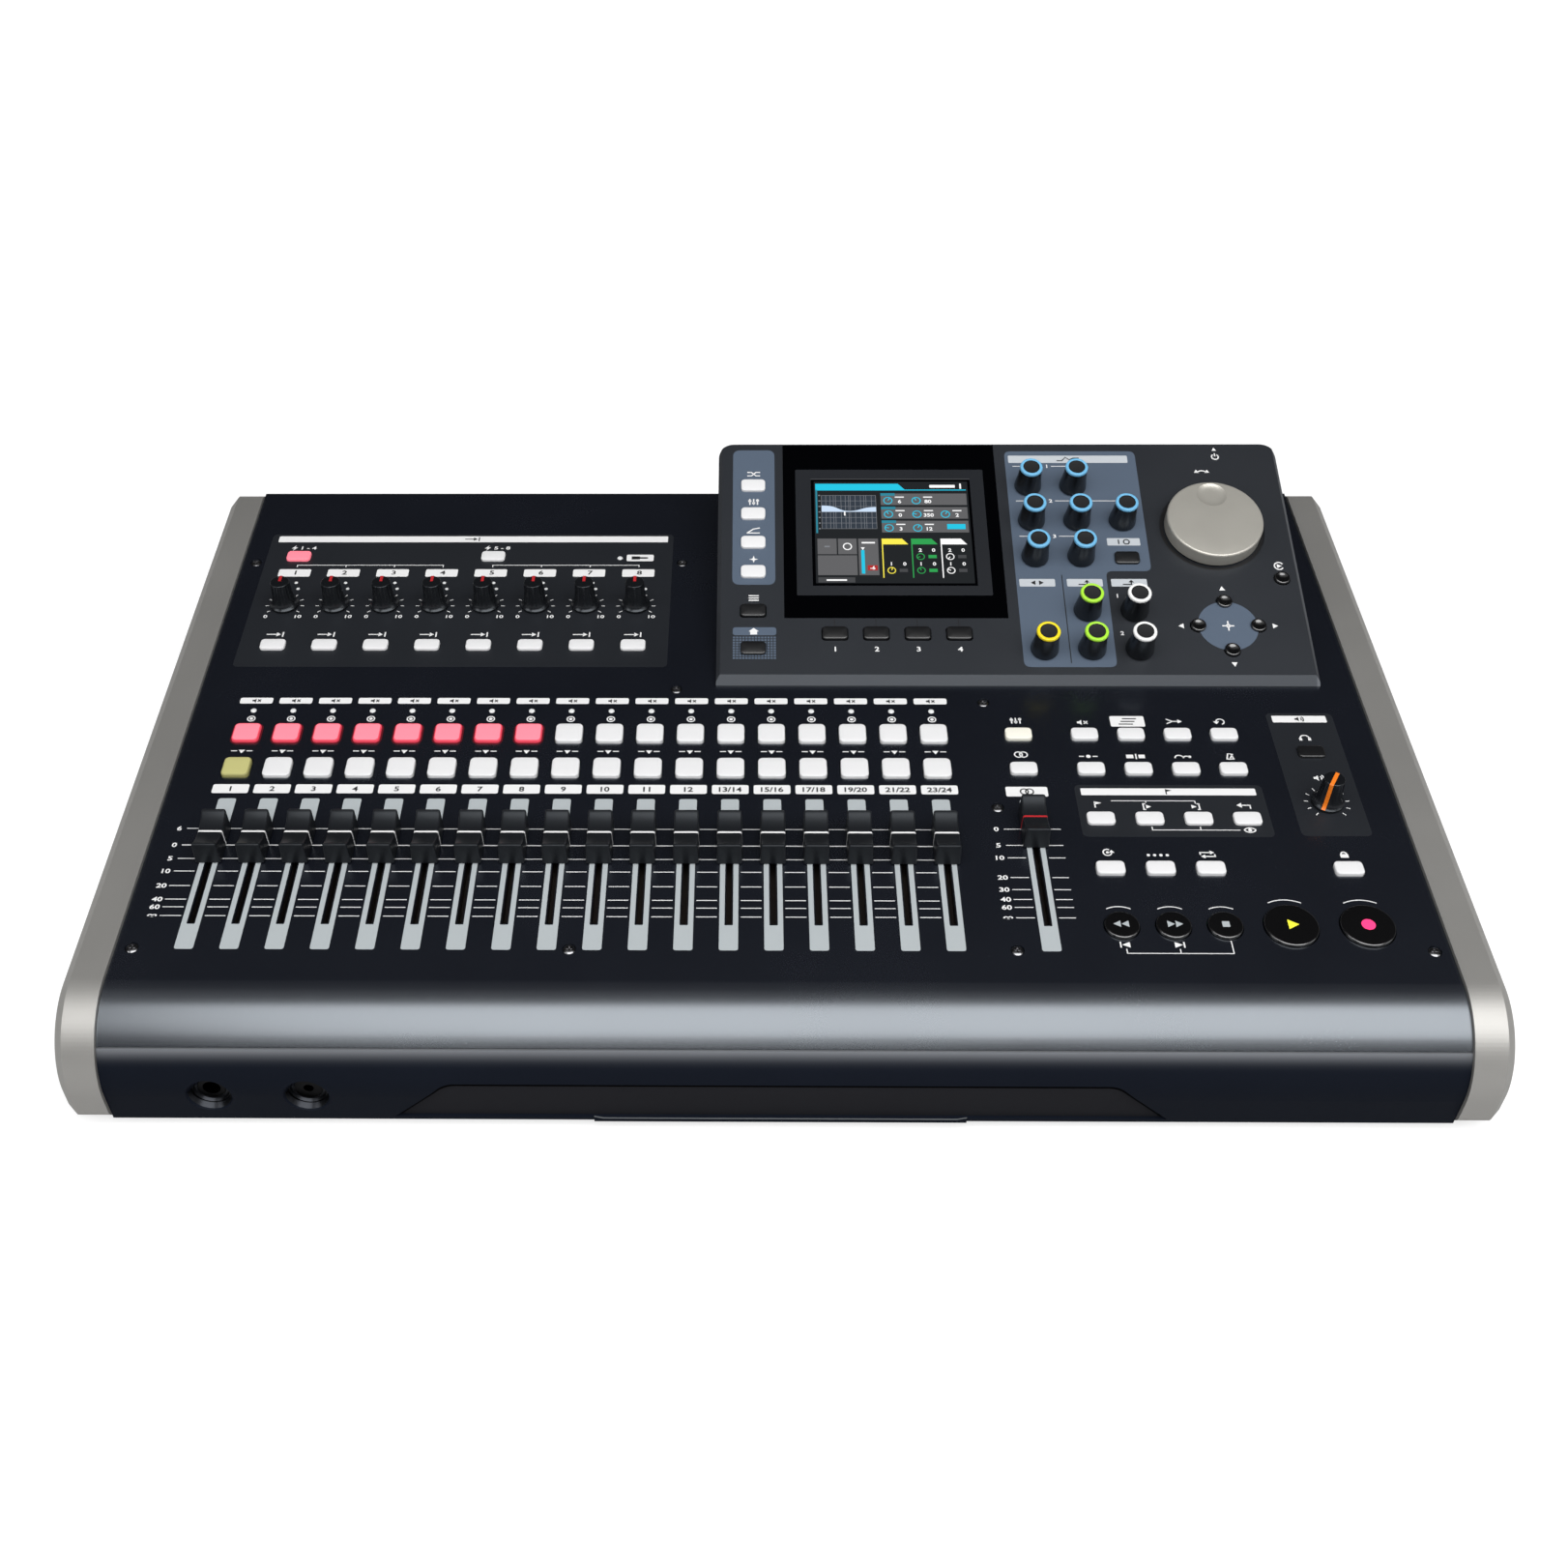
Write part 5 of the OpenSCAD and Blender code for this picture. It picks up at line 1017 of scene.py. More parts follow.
deckInks = {"white": printWhite, "grey": printGrey, "dark": printDark, "field": printField}
deckPrint = {
    "lift": 0.04, "step": 0.03, "line": 0.36, "bold": 1.35, "stub": 0.4, "figure": 2.3, "endless": 1.4,
    "wide": 1.3, "keySign": 1.7,
    "labels": [str(k) for k in range(1, 13)] + [f"{k}/{k + 1}" for k in range(13, 24, 2)],
    "scale": {-73.5: "6", -82.3: "0", -89.4: "5", -95.9: "10", -103.3: "20", -110.1: "40", -113.9: "60",
              -118.2: "∞"},
    "stereoScale": {-73.0: "0", -81.6: "5", -88.1: "10", -98.2: "20", -104.3: "30", -109.2: "40",
                    -113.1: "60", -118.2: "∞"},
    # strips round the slots, by width, length, corner and middle
    "strip": (7.0, 77.2, 0.9, -95.6), "slot": (3.1, 52.7, 0.4, -95.85),
    "fixed": [
        (bar, (306.5, 323.0, -55.2, -49.8), 0, "white", 0.7),
        (sign, ("twoRings", 314.8, -52.5, 1.7), 1, "dark"),
        # input field
        (bar, (-14.8, 170.5, 22, 115.6), 0, "field", 2.2),
        (bar, (-11.7, 168, 109.6, 114.1), 1, "white", 0.6),
        (sign, ("source", 78.2, 111.9, 1.6), 2, "dark"),
        (bar, (149.6, 161.9, 95.4, 100.2), 1, "white", 0.8),
        (sign, ("plug", 155.7, 97.8, 1.9), 2, "dark", 0.5),
        # plates and fields round the function keys and the monitor knob
        (bar, (353.3, 367.3, -14.7, -8.4), 0, "white", 0.7),
        (sign, ("layers", 360.2, -11.6, 1.8), 1, "dark", 0.6),
        (bar, (333.6, 407.3, -77, -48.6), 0, "field", 2.2),
        (bar, (335.9, 404.5, -54.4, -50.6), 1, "white", 0.5),
        (sign, ("flag", 370.2, -52.5, 1.45), 2, "dark", 0.5),
        (bar, (417.5, 444.6, -76.4, -6.5), 0, "field", 2.2),
        (bar, (419.7, 441.8, -12.1, -8.1), 1, "white", 0.5),
        (sign, ("speaker", 430.7, -10.1, 1.5), 2, "dark", 0.5),
        (ticks, (*trim["monitor"], 7.3, 8.9, 0.36, np.linspace(-50, 230, 11)), 1, "white")],
    "keySigns": (("sliders", 314.7, -11.3), ("twoRings", 314.7, -31.4), ("speakerOff", 341.7, -12.3),
                 ("merge", 379.6, -11.6), ("undo", 398.0, -11.6), ("solo", 341.6, -32.4),
                 ("blocks", 360.5, -32.4), ("hop", 379.4, -32.2), ("metronome", 398.2, -32.3),
                 ("flag", 341.5, -59.6), ("bracketIn", 360.6, -60.7), ("bracketOut", 379.6, -60.7),
                 ("back", 398.2, -60.4), ("eye", 398.2, -73.3), ("auto", 341.7, -85.2),
                 ("dots", 360.6, -86.6), ("loop", 379.5, -86.2), ("lock", 431.1, -86.0),
                 ("toStart", 341.9, -131.0), ("toEnd", 361.1, -131.0), ("phones", 430.6, -21.2),
                 ("speaker", 431.0, -44.6)),
    # layer, ends and height of the line, then its stubs by x and end
    "brackets": ((1, 347.0, 379.9, -57.5, ((379.5, -59.0), (360.3, -58.6))),
                 (1, 360.6, 394.5, -73.3, ((360.6, -71.6), (379.2, -71.6))),
                 (0, 341.7, 380.4, -135.0, ((341.7, -132.9), (361.0, -132.9), (380.0, -129.0)))),
    # gap and thickness of the arcs over the transport buttons, and their angles
    "arcs": (3.0, 0.4, 62, 118)}


# Plates, signs and labels of one channel.
def channelRows(x, label):
    return [(bar, about(x, 0.5, 13.7, 3.6), 0, "white", 0.8),
            (bar, about(x, -51.6, 14.5, 5.0), 0, "white", 0.8),
            (numberShape, (label, 2.7, x, -51.6), 1, "dark"),
            (sign, ("speakerOff", x, 0.5, 1.4), 1, "dark", 0.5),
            (sign, ("record", x, -10.6, 1.5), 0, "white", 0.5),
            (sign, ("pick", x, -30.3, 1.45), 0, "white", 0.5)]


# Plate, scale and signs of one input.
def inputRows(x, label):
    return [(bar, about(x, 86.7, 14.5, 5.4), 1, "white", 0.8),
            (numberShape, (label, 2.9, x + 0.5, 86.9), 2, "dark"),
            (ticks, (x, trim["row"], 7.0, 8.6, 0.36, np.linspace(-34, 214, 9)), 1, "white"),
            (numberShape, ("0", 2.1, x - 7.2, 55.8), 1, "white", deckPrint["wide"]),
            (numberShape, ("10", 2.1, x + 7.2, 55.8), 1, "white", deckPrint["wide"]),
            (sign, ("source", x, 43.5, 1.75), 1, "white", 0.6)]


# Bracket over four inputs, and the sign and numbers beside its phantom key.
def phantomRows(x, label):
    return [(bar, (x + 0.1, x + 66.9, 92.2, 92.6), 1, "white"),
            (sign, ("bolt", x - 3.2, 105.2, 1.9), 1, "white"),
            *((bar, (x + q - 0.2, x + q + 0.2, 91.0, 92.2), 1, "white") for q in (0.4, 22.5, 44.6, 66.7)),
            (numberShape, (label, deckPrint["figure"], x + 3.4, 105.2), 1, "white", deckPrint["wide"])]


# Lines and numbers of a fader scale: the lines' ends, the numbers' x, and how much bolder the zero line is.
def scaleRows(scale, ends, numberX, bold):
    rows = []
    for s, word in scale.items():
        thick = deckPrint["line"] * (bold if word == "0" else 1.0)
        size = deckPrint["endless"] if word == "∞" else deckPrint["figure"]
        rows += [(bar, (x0, x1, s - thick / 2, s + thick / 2), 0, "white") for x0, x1 in ends]
        rows += [(numberShape, (word, size, numberX, s), 0, "white", deckPrint["wide"])]
    return rows


def bracketRows(layer, x0, x1, s, stubs):
    rows = [(bar, (x0, x1, s - deckPrint["line"] / 2, s + deckPrint["line"] / 2), layer, "white")]
    return rows + [(bar, (x, x + deckPrint["stub"], min(s, end), max(s, end)), layer, "white")
                   for x, end in stubs]


def deckRows():
    rows = list(deckPrint["fixed"])
    for x, label in zip(channels, deckPrint["labels"]):
        rows += channelRows(x, label)
    (w, l, r, s), (slotW, slotL, slotR, slotS) = deckPrint["strip"], deckPrint["slot"]
    outer, inner = roundedOutline(w, l, r) + [0, s], roundedOutline(slotW, slotL, slotR) + [0, slotS]
    stereo = fader["stereoX"]
    rows += [(bandOf, (outer + [x, 0], inner + [x, 0]), 0, "grey", True) for x in (*channels, stereo)]
    between = [(x + 4.4, x + 12.1) for x in channels[:-1]]
    rows += scaleRows(deckPrint["scale"], [(-12.3, -4.4), *between], -15.2, deckPrint["bold"])
    stereoEnds = [(stereo - 11.3, stereo - 4.4), (stereo + 4.4, stereo + 10.6)]
    rows += scaleRows(deckPrint["stereoScale"], stereoEnds, stereo - 14.2, 1.0)
    for k, x in enumerate(inputX):
        rows += inputRows(x, str(k + 1))
    rows += phantomRows(inputX[0], "1 - 4") + phantomRows(inputX[4], "5 - 8")
    rows += [(sign, (kind, x, s, deckPrint["keySign"]), 2, "white") for kind, x, s in deckPrint["keySigns"]]
    for bracket in deckPrint["brackets"]:
        rows += bracketRows(*bracket)
    gap, thick, *angles = deckPrint["arcs"]
    buttons = [(x, transport[r] + gap) for r, xs in buttonRows for x in xs]
    return rows + [(arc, (x, transport["row"], r, r + thick, *angles), 0, "white", 16) for x, r in buttons]


makePiece("deckPrints", [placed(q, onDeck) for q in drawn(deckRows(), deckPrint, deckInks)],
          list(deckInks.values()), "case", smooth=0)

# Lamps: low clear domes over the channel keys and beside the trim knobs, and light round the lit keys
lamps = {"r": 1.25, "small": 0.8, "row": -5.7, "phantom": (146.6, 97.6), "trim": ((2.1, 79.5), (3.7, 75.2)),
         "sunk": -0.4, "side": 0.05, "flat": 0.45, "steps": (0.35, 0.7, 1.05, 1.4), "around": (20, 16),
         "glowLift": 0.035}


# A short side, and a dome that follows a flattened circle.
def domeProfile(r):
    side = [(r, lamps["sunk"]), (r, lamps["side"])]
    return side + [(r * math.cos(a), lamps["side"] + lamps["flat"] * r * math.sin(a)) for a in lamps["steps"]]


bigLamp, smallLamp = (turned(domeProfile(lamps[r]), around)
                      for r, around in zip(("r", "small"), lamps["around"]))
keyW, keyL = keys["pad"]
leakEdges = [roundedOutline(keyW + 2 * q, keyL + 2 * q, keys["padCorner"] + q) for q in (keys["leak"], 0.0)]
lampShapes = [repeated(bigLamp, np.vstack([rowOf(channels, lamps["row"]), lamps["phantom"]])),
              repeated(smallLamp, np.vstack([rowOf(inputX + x, s) for x, s in lamps["trim"]])),
              repeated(bandOf(*leakEdges, lamps["glowLift"], 1, True), recPlaces[:keys["litRec"]])]
makePiece("deckLamps", [placed(q, onDeck) for q in lampShapes], [lampClear, leakRed], "case")
print("deck prints made")

# Prints on the console: slate fields, plates, arrows and lines
consoleInks = {"white": printWhite, "slate": printSlate, "dark": printDark, "ring": jogGapShadow,
               "pale": printPale}
consolePrint = {
    "lift": 0.04, "step": 0.03, "arrow": 19.6, "arrowSize": 1.5, "sign": 0.58,
    "fixed": [
        (bar, (198, 216.7, 47.1, 123.8), 0, "slate", 3.0),
        (plate, (softPolygon([(320.8, 3.9), (359.7, 3.9), (360.0, 54.6), (379.8, 54.6), (379.8, 123.1),
                              (320.8, 123.1)], 3.0),), 0, "slate"),
        (bar, (322.4, 376.2, 116.2, 120.5), 1, "pale", 0.5),
        (bar, (340.5, 340.9, 5.9, 52.5), 1, "dark"),
        *((bar, (x - 7.7, x + 7.7, 46.2, 50.3), 1, "pale", 0.5) for x in (329.8, 350.3, 369.4)),
        (bar, (362.2, 376.6, 68.7, 72.8), 1, "pale", 0.5),
        (bar, (198.4, 216.9, 20.2, 24.4), 0, "slate", 1.2),
        *((numberShape, (word, 2.0, 363.6, v), 1, "white") for word, v in (("1", 41.2), ("2", 21.4))),
        (triangle, (415.9, 124.0, 1.2, 90), 0, "white")],
    # height, number and right end of the lines over the encoders
    "groups": ((114.2, "1", 355.0), (94.0, "2", 369.0), (73.9, "3", 355.0)),
    # field of small squares under the home key: start, pitch, count and half size
    "squares": (198.95, 8.4, 1.33, 14, 9, 0.48),
    "signs": (("route", 207.3, 109.6, 1.69, "white"), ("sliders", 207.3, 93.4, 1.69, "white"),
              ("knee", 207.3, 77.2, 1.69, "white"), ("star", 207.3, 61.0, 1.82, "white"),
              ("list", 207.3, 39.9, 1.56, "white"), ("house", 207.3, 22.2, 1.82, "white"),
              ("standby", 415.9, 119.9, 1.69, "white"), ("wheel", 408.7, 110.4, 1.82, "white"),
              ("playRing", 435.2, 57.4, 1.69, "white"), ("cross", 408.9, 25.3, 1.69, "white"),
              ("curve", 349.3, 118.3, 1.69, "dark"), ("balance", 329.8, 48.25, 1.56, "dark"),
              ("send", 350.3, 48.25, 1.56, "dark"), ("send", 369.4, 48.25, 1.56, "dark"),
              ("onOff", 369.4, 70.75, 1.56, "dark")),
    # radii and height of the dark ring in the gap round the jog wheel, a painted shadow
    "well": (21.1, 22.6, -0.5)}


def consolePrints():
    rows = list(consolePrint["fixed"])
    for v, word, end in consolePrint["groups"]:
        rows += [(bar, (x0, x1, v - 0.16, v + 0.16), 1, "white") for x0, x1 in ((324.1, 337.5), (341.5, end))]
        rows += [(numberShape, (word, 2.0, 339.5, v), 1, "white")]
    x0, v0, pitch, across, up, half = consolePrint["squares"]
    rows += [(bar, about(x0 + pitch * i, v0 + pitch * j, 2 * half, 2 * half), 0, "slate")
             for j in range(up) for i in range(across)]
    rows += [(sign, values, 2, ink, consolePrint["sign"]) for *values, ink in consolePrint["signs"]]
    rows += [(disc, (jogX, cursorV, consoleGrid["cursorR"]), 0, "slate", 64)]
    arrows = curveOf(jogX, cursorV, consolePrint["arrow"], 0, 270, 4)
    rows += [(triangle, (*place, consolePrint["arrowSize"], 90 * k), 0, "white")
             for k, place in enumerate(arrows)]
    for k, x in enumerate(softX):
        rows += [(numberShape, (str(k + 1), 2.5, x, 13.1), 0, "white"),
                 (bar, (x - 0.2, x + 0.2, 24.6, 28.8), 0, "dark")]
    r0, r1, low = consolePrint["well"]
    well = arc(*consoleGrid["jog"], r0, r1, 0, 360, low, list(consoleInks).index("ring"), 96)
    return [*drawn(rows, consolePrint, consoleInks), well]


makePiece("consolePrints", [placed(q, onConsole) for q in consolePrints()], list(consoleInks.values()),
          "case", smooth=0)
print("console prints made")


# A lit colour under the window's gloss.
def litFinish(name, color):
    return finish(name, tuple(0.15 * q for q in color), rough=0.12, spec=0.25, shade=0.05, roughShift=0.02,
                  bump=0, glow=color, glowPower=0.95)


def dial(x, v, r, turn, lift, tag):
    return joined([arc(x, v, r - 0.42, r, 0, 360, lift, tag, 28),
                   ticks(x, v, 0.1, r - 0.3, 0.42, [turn], lift, tag)])


# Screen: a bezel, a black border and a made-up page of panels, dials and a curve, from its lower left corner
screenColors = {"base": (0.016, 0.018, 0.02), "panel": (0.115, 0.115, 0.12), "cyan": (0.02, 0.52, 0.72),
                "pale": (0.55, 0.68, 0.85), "grid": (0.035, 0.045, 0.06), "line": (0.2, 0.21, 0.23),
                "yellow": (0.9, 0.78, 0.08), "green": (0.03, 0.33, 0.08), "white": (0.95, 0.95, 0.95),
                "teal": (0.03, 0.22, 0.3), "red": (0.4, 0.03, 0.03), "mid": (0.06, 0.062, 0.066)}
screenInks = {"bezel": printBezel, "border": windowBlack,
              **{key: litFinish("screen" + key.capitalize(), color) for key, color in screenColors.items()}}
screen = {
    "lift": 0.0, "step": 0.03, "page": (234.3, 47.9),
    "frame": [(bar, (226.0, 310.3, 41.4, 112.2), 1, "bezel", 0.6),
              (bar, (232.9, 304.2, 46.6, 106.4), 2, "border", 0.3),
              (bar, (234.3, 303.0, 47.9, 105.1), 3, "base"),
              # light on the upper lip of the border
              (bar, (232.9, 304.2, 106.4, 106.9), 2, "mid")],
    "fixed": [
        # tab across the top
        (plate, ([(0.6, 52.6), (40.6, 52.6), (37.6, 56.0), (0.6, 56.0)],), 4, "cyan"),
        (bar, (0.6, 67.9, 52.1, 52.6), 4, "cyan"), (bar, (0.6, 1.4, 27.7, 52.6), 4, "teal"),
        (numberShape, ("1", 3.0, 65.5, 54.6), 4, "white"), (bar, (51.7, 63.1, 53.7, 55.3), 4, "white", 0.3),
        # marks on the curve and beside the dials
        (bar, (13.1, 13.7, 37.6, 40.0), 6, "white"), (bar, (58.4, 66.5, 29.9, 32.8), 6, "cyan"),
        # lower left: plain panels and a level column
        (bar, (1.0, 9.4, 15.9, 24.6), 4, "panel"), (bar, (10.0, 18.2, 15.9, 24.6), 4, "panel"),
        (bar, (1.0, 18.2, 4.4, 15.3), 4, "panel"), (bar, (18.9, 27.6, 4.4, 24.6), 4, "panel"),
        (arc, (14.1, 20.2, 1.5, 2.0, 0, 360), 5, "white"), (bar, (4.0, 6.4, 19.8, 20.6), 5, "line"),
        (bar, (20.0, 21.5, 5.2, 18.2), 5, "cyan"), (triangle, (20.8, 19.2, 1.0, 270), 6, "white"),
        (bar, (22.6, 27.0, 7.0, 9.8), 5, "red"), (numberShape, ("-6", 1.9, 24.8, 8.4), 6, "white", 1.1),
        (bar, (20.4, 26.2, 21.9, 22.7), 5, "white"), (bar, (1.0, 17.0, 0.4, 3.2), 4, "mid"),
        (bar, (4.6, 13.4, 1.3, 2.1), 5, "white")],
    # sides of the curve's grid, shares of its width for the upright lines, half a line, and the curve's foot
    "grid": (3.2, 27.4, 30.2, 49.2), "half": 0.09, "foot": 39.8, "levels": 7,
    # the curve's steps by height, place and steepness, its least height and its points
    "ridge": ((3.4, 0.3, 16), (2.6, 0.72, -14)), "least": 0.15, "points": 40,
    "shares": (0, 0.08, 0.16, 0.22, 0.26, 0.36, 0.44, 0.5, 0.53, 0.62, 0.72, 0.78, 0.82, 0.92, 1.0),
    "dials": (("6", "80"), ("0", "350", "2"), ("3", "12")), "dialX": 29.6, "dialTop": 50.6,
    "dialStep": (12.6, 7.8), "columns": {"yellow": 1, "green": 2, "white": 2}, "columnX": 29.2,
    "columnStep": (12.9, 7.6), "wide": 1.15}


# Grid, and a band between a level foot and two smooth steps that fall and rise along it.
def curveRows():
    x0, x1, v0, v1 = screen["grid"]
    half = screen["half"]
    uprights = x0 + np.array(screen["shares"]) * (x1 - x0)
    rows = [(bar, (x0, x1, v0, v1), 4, "grid")]
    rows += [(bar, (x - half, x + half, v0, v1), 5, "line") for x in uprights]
    for v in np.linspace(v0, v1, screen["levels"]):
        rows += [(bar, (x0, x1, v - half, v + half), 5, "line"),
                 (bar, (1.8, 2.7, v - 0.3, v + 0.3), 5, "line")]
    u = np.linspace(0, 1, screen["points"])
    ridge = sum(h / (1 + np.exp((u - at) * steep)) for h, at, steep in screen["ridge"]) + screen["least"]
    foot = rowOf(x0 + u * (x1 - x0), screen["foot"])
    return rows + [(bandOf, (foot, foot + ridge[:, None] * [0, 1]), 6, "pale")]


# One row of dials, each with a line and a number beside it.
def dialRows(k, words):
    left, stepX, top = screen["dialX"], screen["dialStep"][0], screen["dialTop"] - screen["dialStep"][1] * k
    rows = [(bar, (left, 67.9, top - 6.9, top - 0.3), 4, "panel"),
            (bar, (left, left + 6.4, top - 1.6, top - 0.1), 5, "teal")]
    for q, word in enumerate(words):
        x = left + stepX * q
        rows += [(dial, (x + 3.2, top - 4.4, 2.05, 60 + 55 * ((k + q) % 3)), 6, "cyan"),
                 (bar, (x + 6.4, x + 10.4, top - 2.7, top - 2.1), 6, "white"),
                 (numberShape, (word, 2.0, x + 8.4, top - 4.9), 6, "white", screen["wide"])]
    return rows


# One column with a coloured tab, dials, fields and numbers.
def columnRows(k, ink, count):
    left = screen["columnX"] + screen["columnStep"][0] * k
    tab = [(left, 21.4), (left + 11.6, 21.4), (left + 9.0, 24.6), (left, 24.6)]
    rows = [(plate, (tab,), 4, ink), (bar, (left, left + 0.5, 3.0, 21.4), 4, ink)]
    for q in range(count):
        v = 7.0 + screen["columnStep"][1] * q
        rows += [(dial, (left + 3.8, v, 1.85, 75 + 80 * q + 40 * k), 5, ink),
                 (bar, (left + 7.2, left + 10.8, v - 0.9, v + 0.9), 5, "green" if ink == "green" else "mid"),
                 (numberShape, (str(q + 1), 1.9, left + 3.8, v + 3.6), 5, "white", screen["wide"]),
                 (numberShape, ("0", 1.9, left + 9.6, v + 3.6), 5, "white", screen["wide"])]
    return rows


pageRows = screen["fixed"] + curveRows()
for k, words in enumerate(screen["dials"]):
    pageRows += dialRows(k, words)
for k, (ink, count) in enumerate(screen["columns"].items()):
    pageRows += columnRows(k, ink, count)
page = [shift(q, *screen["page"]) for q in drawn(pageRows, screen, screenInks)]
makePiece("screenPage", [placed(q, onConsole) for q in drawn(screen["frame"], screen, screenInks) + page],
          list(screenInks.values()), "case", smooth=0)
print("screen made")

# Stage: a wide pale floor, and a plain studio round it
stage = {"floor": 6.0, "floorColor": (0.42, 0.42, 0.42), "floorRough": 0.9, "floorSpec": 0.1,
         "skyLow": 0.5, "skyHigh": 0.015, "skyFade": (0.02, 0.34), "diffuse": 0.2, "paperGlow": 0.68,
         "paperFade": (0.4, 1.5), "glossGlow": 0.04}


def rangeNode(tree, span, low, high, **settings):
    values = {"From Min": span[0], "From Max": span[1], "To Min": low, "To Max": high}
    return addNode(tree, "ShaderNodeMapRange", values, **settings)


# The light path, and a mask of 1 for what is seen in gloss or through glass.
def glossMask(tree):
    path, seen = addNode(tree, "ShaderNodeLightPath"), mathNode(tree, "MAXIMUM")
    wire(tree, (path, "Is Glossy Ray", seen, 0), (path, "Is Transmission Ray", seen, 1))
    return path, seen


def buildFloor():
    h = stage["floor"]
    mesh = bpy.data.meshes.new("floor")
    mesh.from_pydata([(-h, -h, 0), (h, -h, 0), (h, h, 0), (-h, h, 0)], [], [(0, 1, 2, 3)])
    floor = bpy.data.objects.new("floor", mesh)
    bpy.context.scene.collection.objects.link(floor)
    paper = bpy.data.materials.new("floorPaper")
    paper.use_nodes = True
    tree = paper.node_tree
    shader = tree.nodes["Principled BSDF"]
    setInputs(shader, {"Base Color": (*stage["floorColor"], 1), "Roughness": stage["floorRough"],
                       "Specular IOR Level": stage["floorSpec"]})
    # seen directly or in gloss the paper adds a little white of its own, over the light and shadow on it,
    # and is plain white where the lamps don't reach
    path, seen = glossMask(tree)
    glow, add = addNode(tree, "ShaderNodeEmission"), addNode(tree, "ShaderNodeAddShader")
    inGloss = mathNode(tree, "MULTIPLY", {1: stage["glossGlow"]})
    power = addNode(tree, "ShaderNodeMix")
    place = addNode(tree, "ShaderNodeTexCoord")
    reach = addNode(tree, "ShaderNodeVectorMath", operation="LENGTH")
    white = rangeNode(tree, stage["paperFade"], stage["paperGlow"], 1.0)
    wire(tree, (place, "Object", reach, 0), (reach, "Value", white, "Value"), (white, "Result", power, "B"),
         (seen, 0, inGloss, 0), (inGloss, 0, power, "A"), (path, "Is Camera Ray", power, "Factor"),
         (power, "Result", glow, "Strength"), (shader, 0, add, 0), (glow, 0, add, 1),
         (add, 0, tree.nodes["Material Output"], "Surface"))
    mesh.materials.append(paper)


# White to the camera, even for soft light, and in gloss white low down and dimmer overhead.
def buildWorld():
    world = bpy.data.worlds.new("studio")
    bpy.context.scene.world = world
    world.use_nodes = True
    tree = world.node_tree
    back = tree.nodes["Background"]
    setInputs(back, {"Color": (1, 1, 1, 1)})
    place, cut = addNode(tree, "ShaderNodeTexCoord"), addNode(tree, "ShaderNodeSeparateXYZ")
    fade = rangeNode(tree, stage["skyFade"], stage["skyLow"], stage["skyHigh"],
                     interpolation_type="SMOOTHSTEP")
    path, seen = glossMask(tree)
    gloss = addNode(tree, "ShaderNodeMix", {"A": stage["diffuse"]})
    power = addNode(tree, "ShaderNodeMix", {"B": 1.0})
    wire(tree, (place, "Generated", cut, 0), (cut, "Z", fade, "Value"), (seen, 0, gloss, "Factor"),
         (fade, "Result", gloss, "B"), (path, "Is Camera Ray", power, "Factor"),
         (gloss, "Result", power, "A"), (power, "Result", back, "Strength"))


# Soft lamps: a long box over the front that draws the light along the rolled edge, a dim one overhead, and
# side panels, each by its place, what it faces, its size and its power
softboxes = {"frontBox": ((0.32, -0.81, 1.475), (0.26, -0.15, 0.04), (2.2, 1.43), 35.5),
             "upperBox": ((0, -0.02, 1.6), (0, 0, 0.05), (2.6, 0.9), 1.7),
             "leftPanel": ((-1.5, -0.7, 1.2), (0, 0, 0.05), (0.9, 0.9), 6.0),
             "rightPanel": ((1.7, -0.5, 1.0), (0, 0, 0.05), (0.9, 0.9), 3.0)}


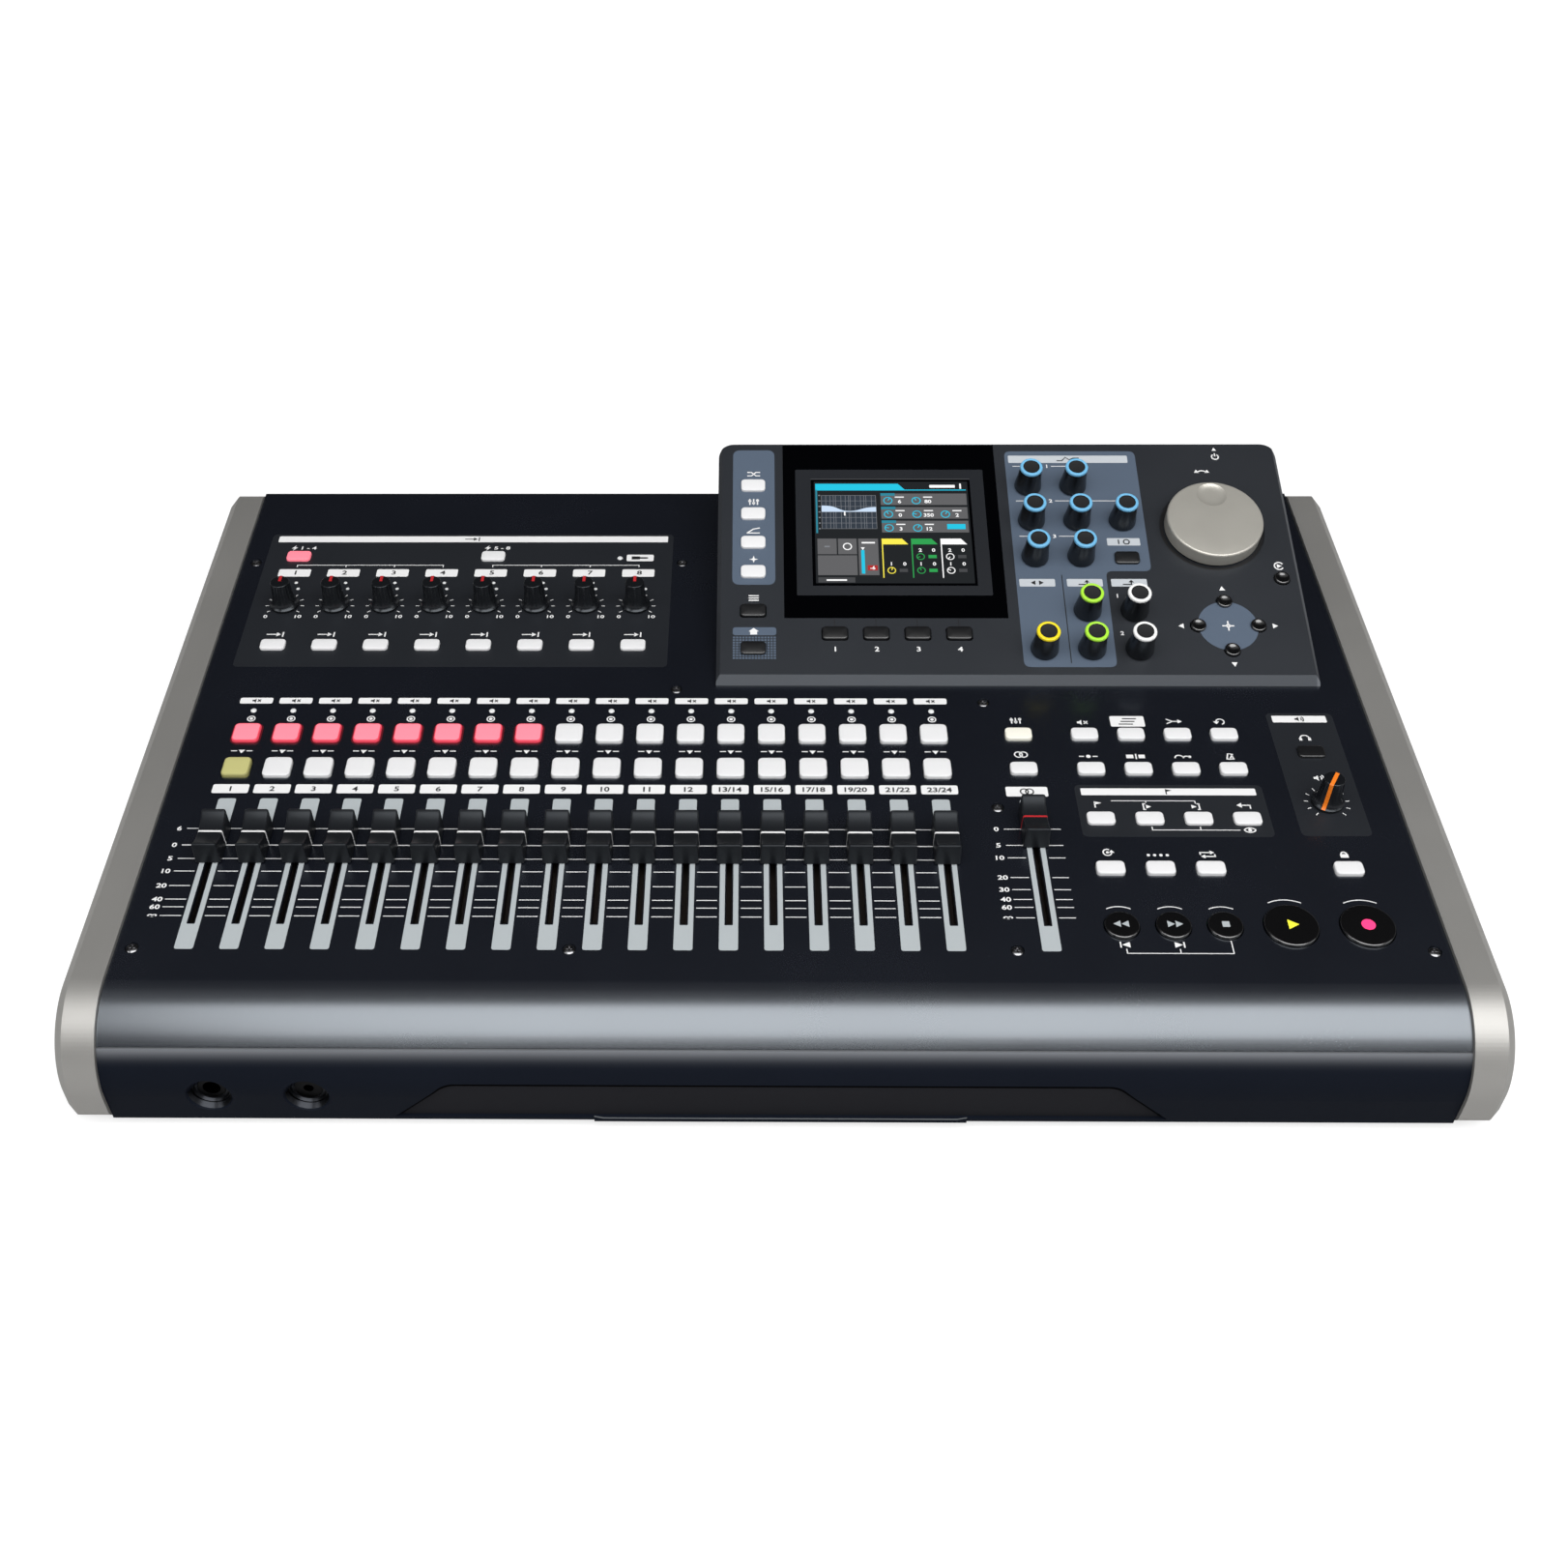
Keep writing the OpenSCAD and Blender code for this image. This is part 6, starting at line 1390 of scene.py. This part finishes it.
def buildLamps():
    for name, (at, to, size, power) in softboxes.items():
        light = bpy.data.lights.new(name, "AREA")
        light.shape, light.size, light.size_y = "RECTANGLE", *size
        light.energy = power
        lamp = bpy.data.objects.new(name, light)
        bpy.context.scene.collection.objects.link(lamp)
        lamp.location = at
        lamp.rotation_mode = "QUATERNION"
        lamp.rotation_quaternion = (Vector(to) - Vector(at)).to_track_quat("-Z", "Y")


# Camera from the fit to the photograph: its place and turns are against the deck
camera = {"f": 1833.0, "frame": 1622.0, "centre": (751.0, 812.0), "x": 205.0, "s": -548.0, "n": 493.0,
          "yaw": -1.00, "pitch": 44.65, "roll": 0.60, "sensor": 36.0, "clip": (0.05, 50.0)}


# A direction against the deck, in the recorder's frame.
def alongDeck(x, s, n):
    return (onDeck(x, s, n) - onDeck(0, 0, 0)) / mm


def buildCamera():
    yaw, pitch, tilt = (math.radians(camera[q]) for q in ("yaw", "pitch", "roll"))
    ahead = np.array([math.sin(yaw) * math.cos(pitch), math.cos(yaw) * math.cos(pitch), -math.sin(pitch)])
    right = np.array([math.cos(yaw), -math.sin(yaw), 0.0])
    down = np.cross(ahead, right)
    axes = [alongDeck(*(math.cos(tilt) * right + math.sin(tilt) * down)),
            -alongDeck(*(math.cos(tilt) * down - math.sin(tilt) * right)), -alongDeck(*ahead)]
    data = bpy.data.cameras.new("photoCamera")
    data.sensor_width, data.sensor_fit = camera["sensor"], "HORIZONTAL"
    data.lens = camera["f"] / camera["frame"] * camera["sensor"]
    data.shift_x = (camera["frame"] / 2 - camera["centre"][0]) / camera["frame"]
    data.shift_y = (camera["centre"][1] - camera["frame"] / 2) / camera["frame"]
    data.clip_start, data.clip_end = camera["clip"]
    cam = bpy.data.objects.new("photoCamera", data)
    bpy.context.scene.collection.objects.link(cam)
    turn = Matrix(np.column_stack(axes).tolist()).to_4x4()
    turn.translation = Vector(onDeck(camera["x"], camera["s"], camera["n"]))
    cam.matrix_world = turn
    bpy.context.scene.camera = cam


buildFloor()
buildWorld()
buildLamps()
buildCamera()
bpy.context.scene.view_settings.view_transform = "Standard"
print("stage, lamps and camera set")
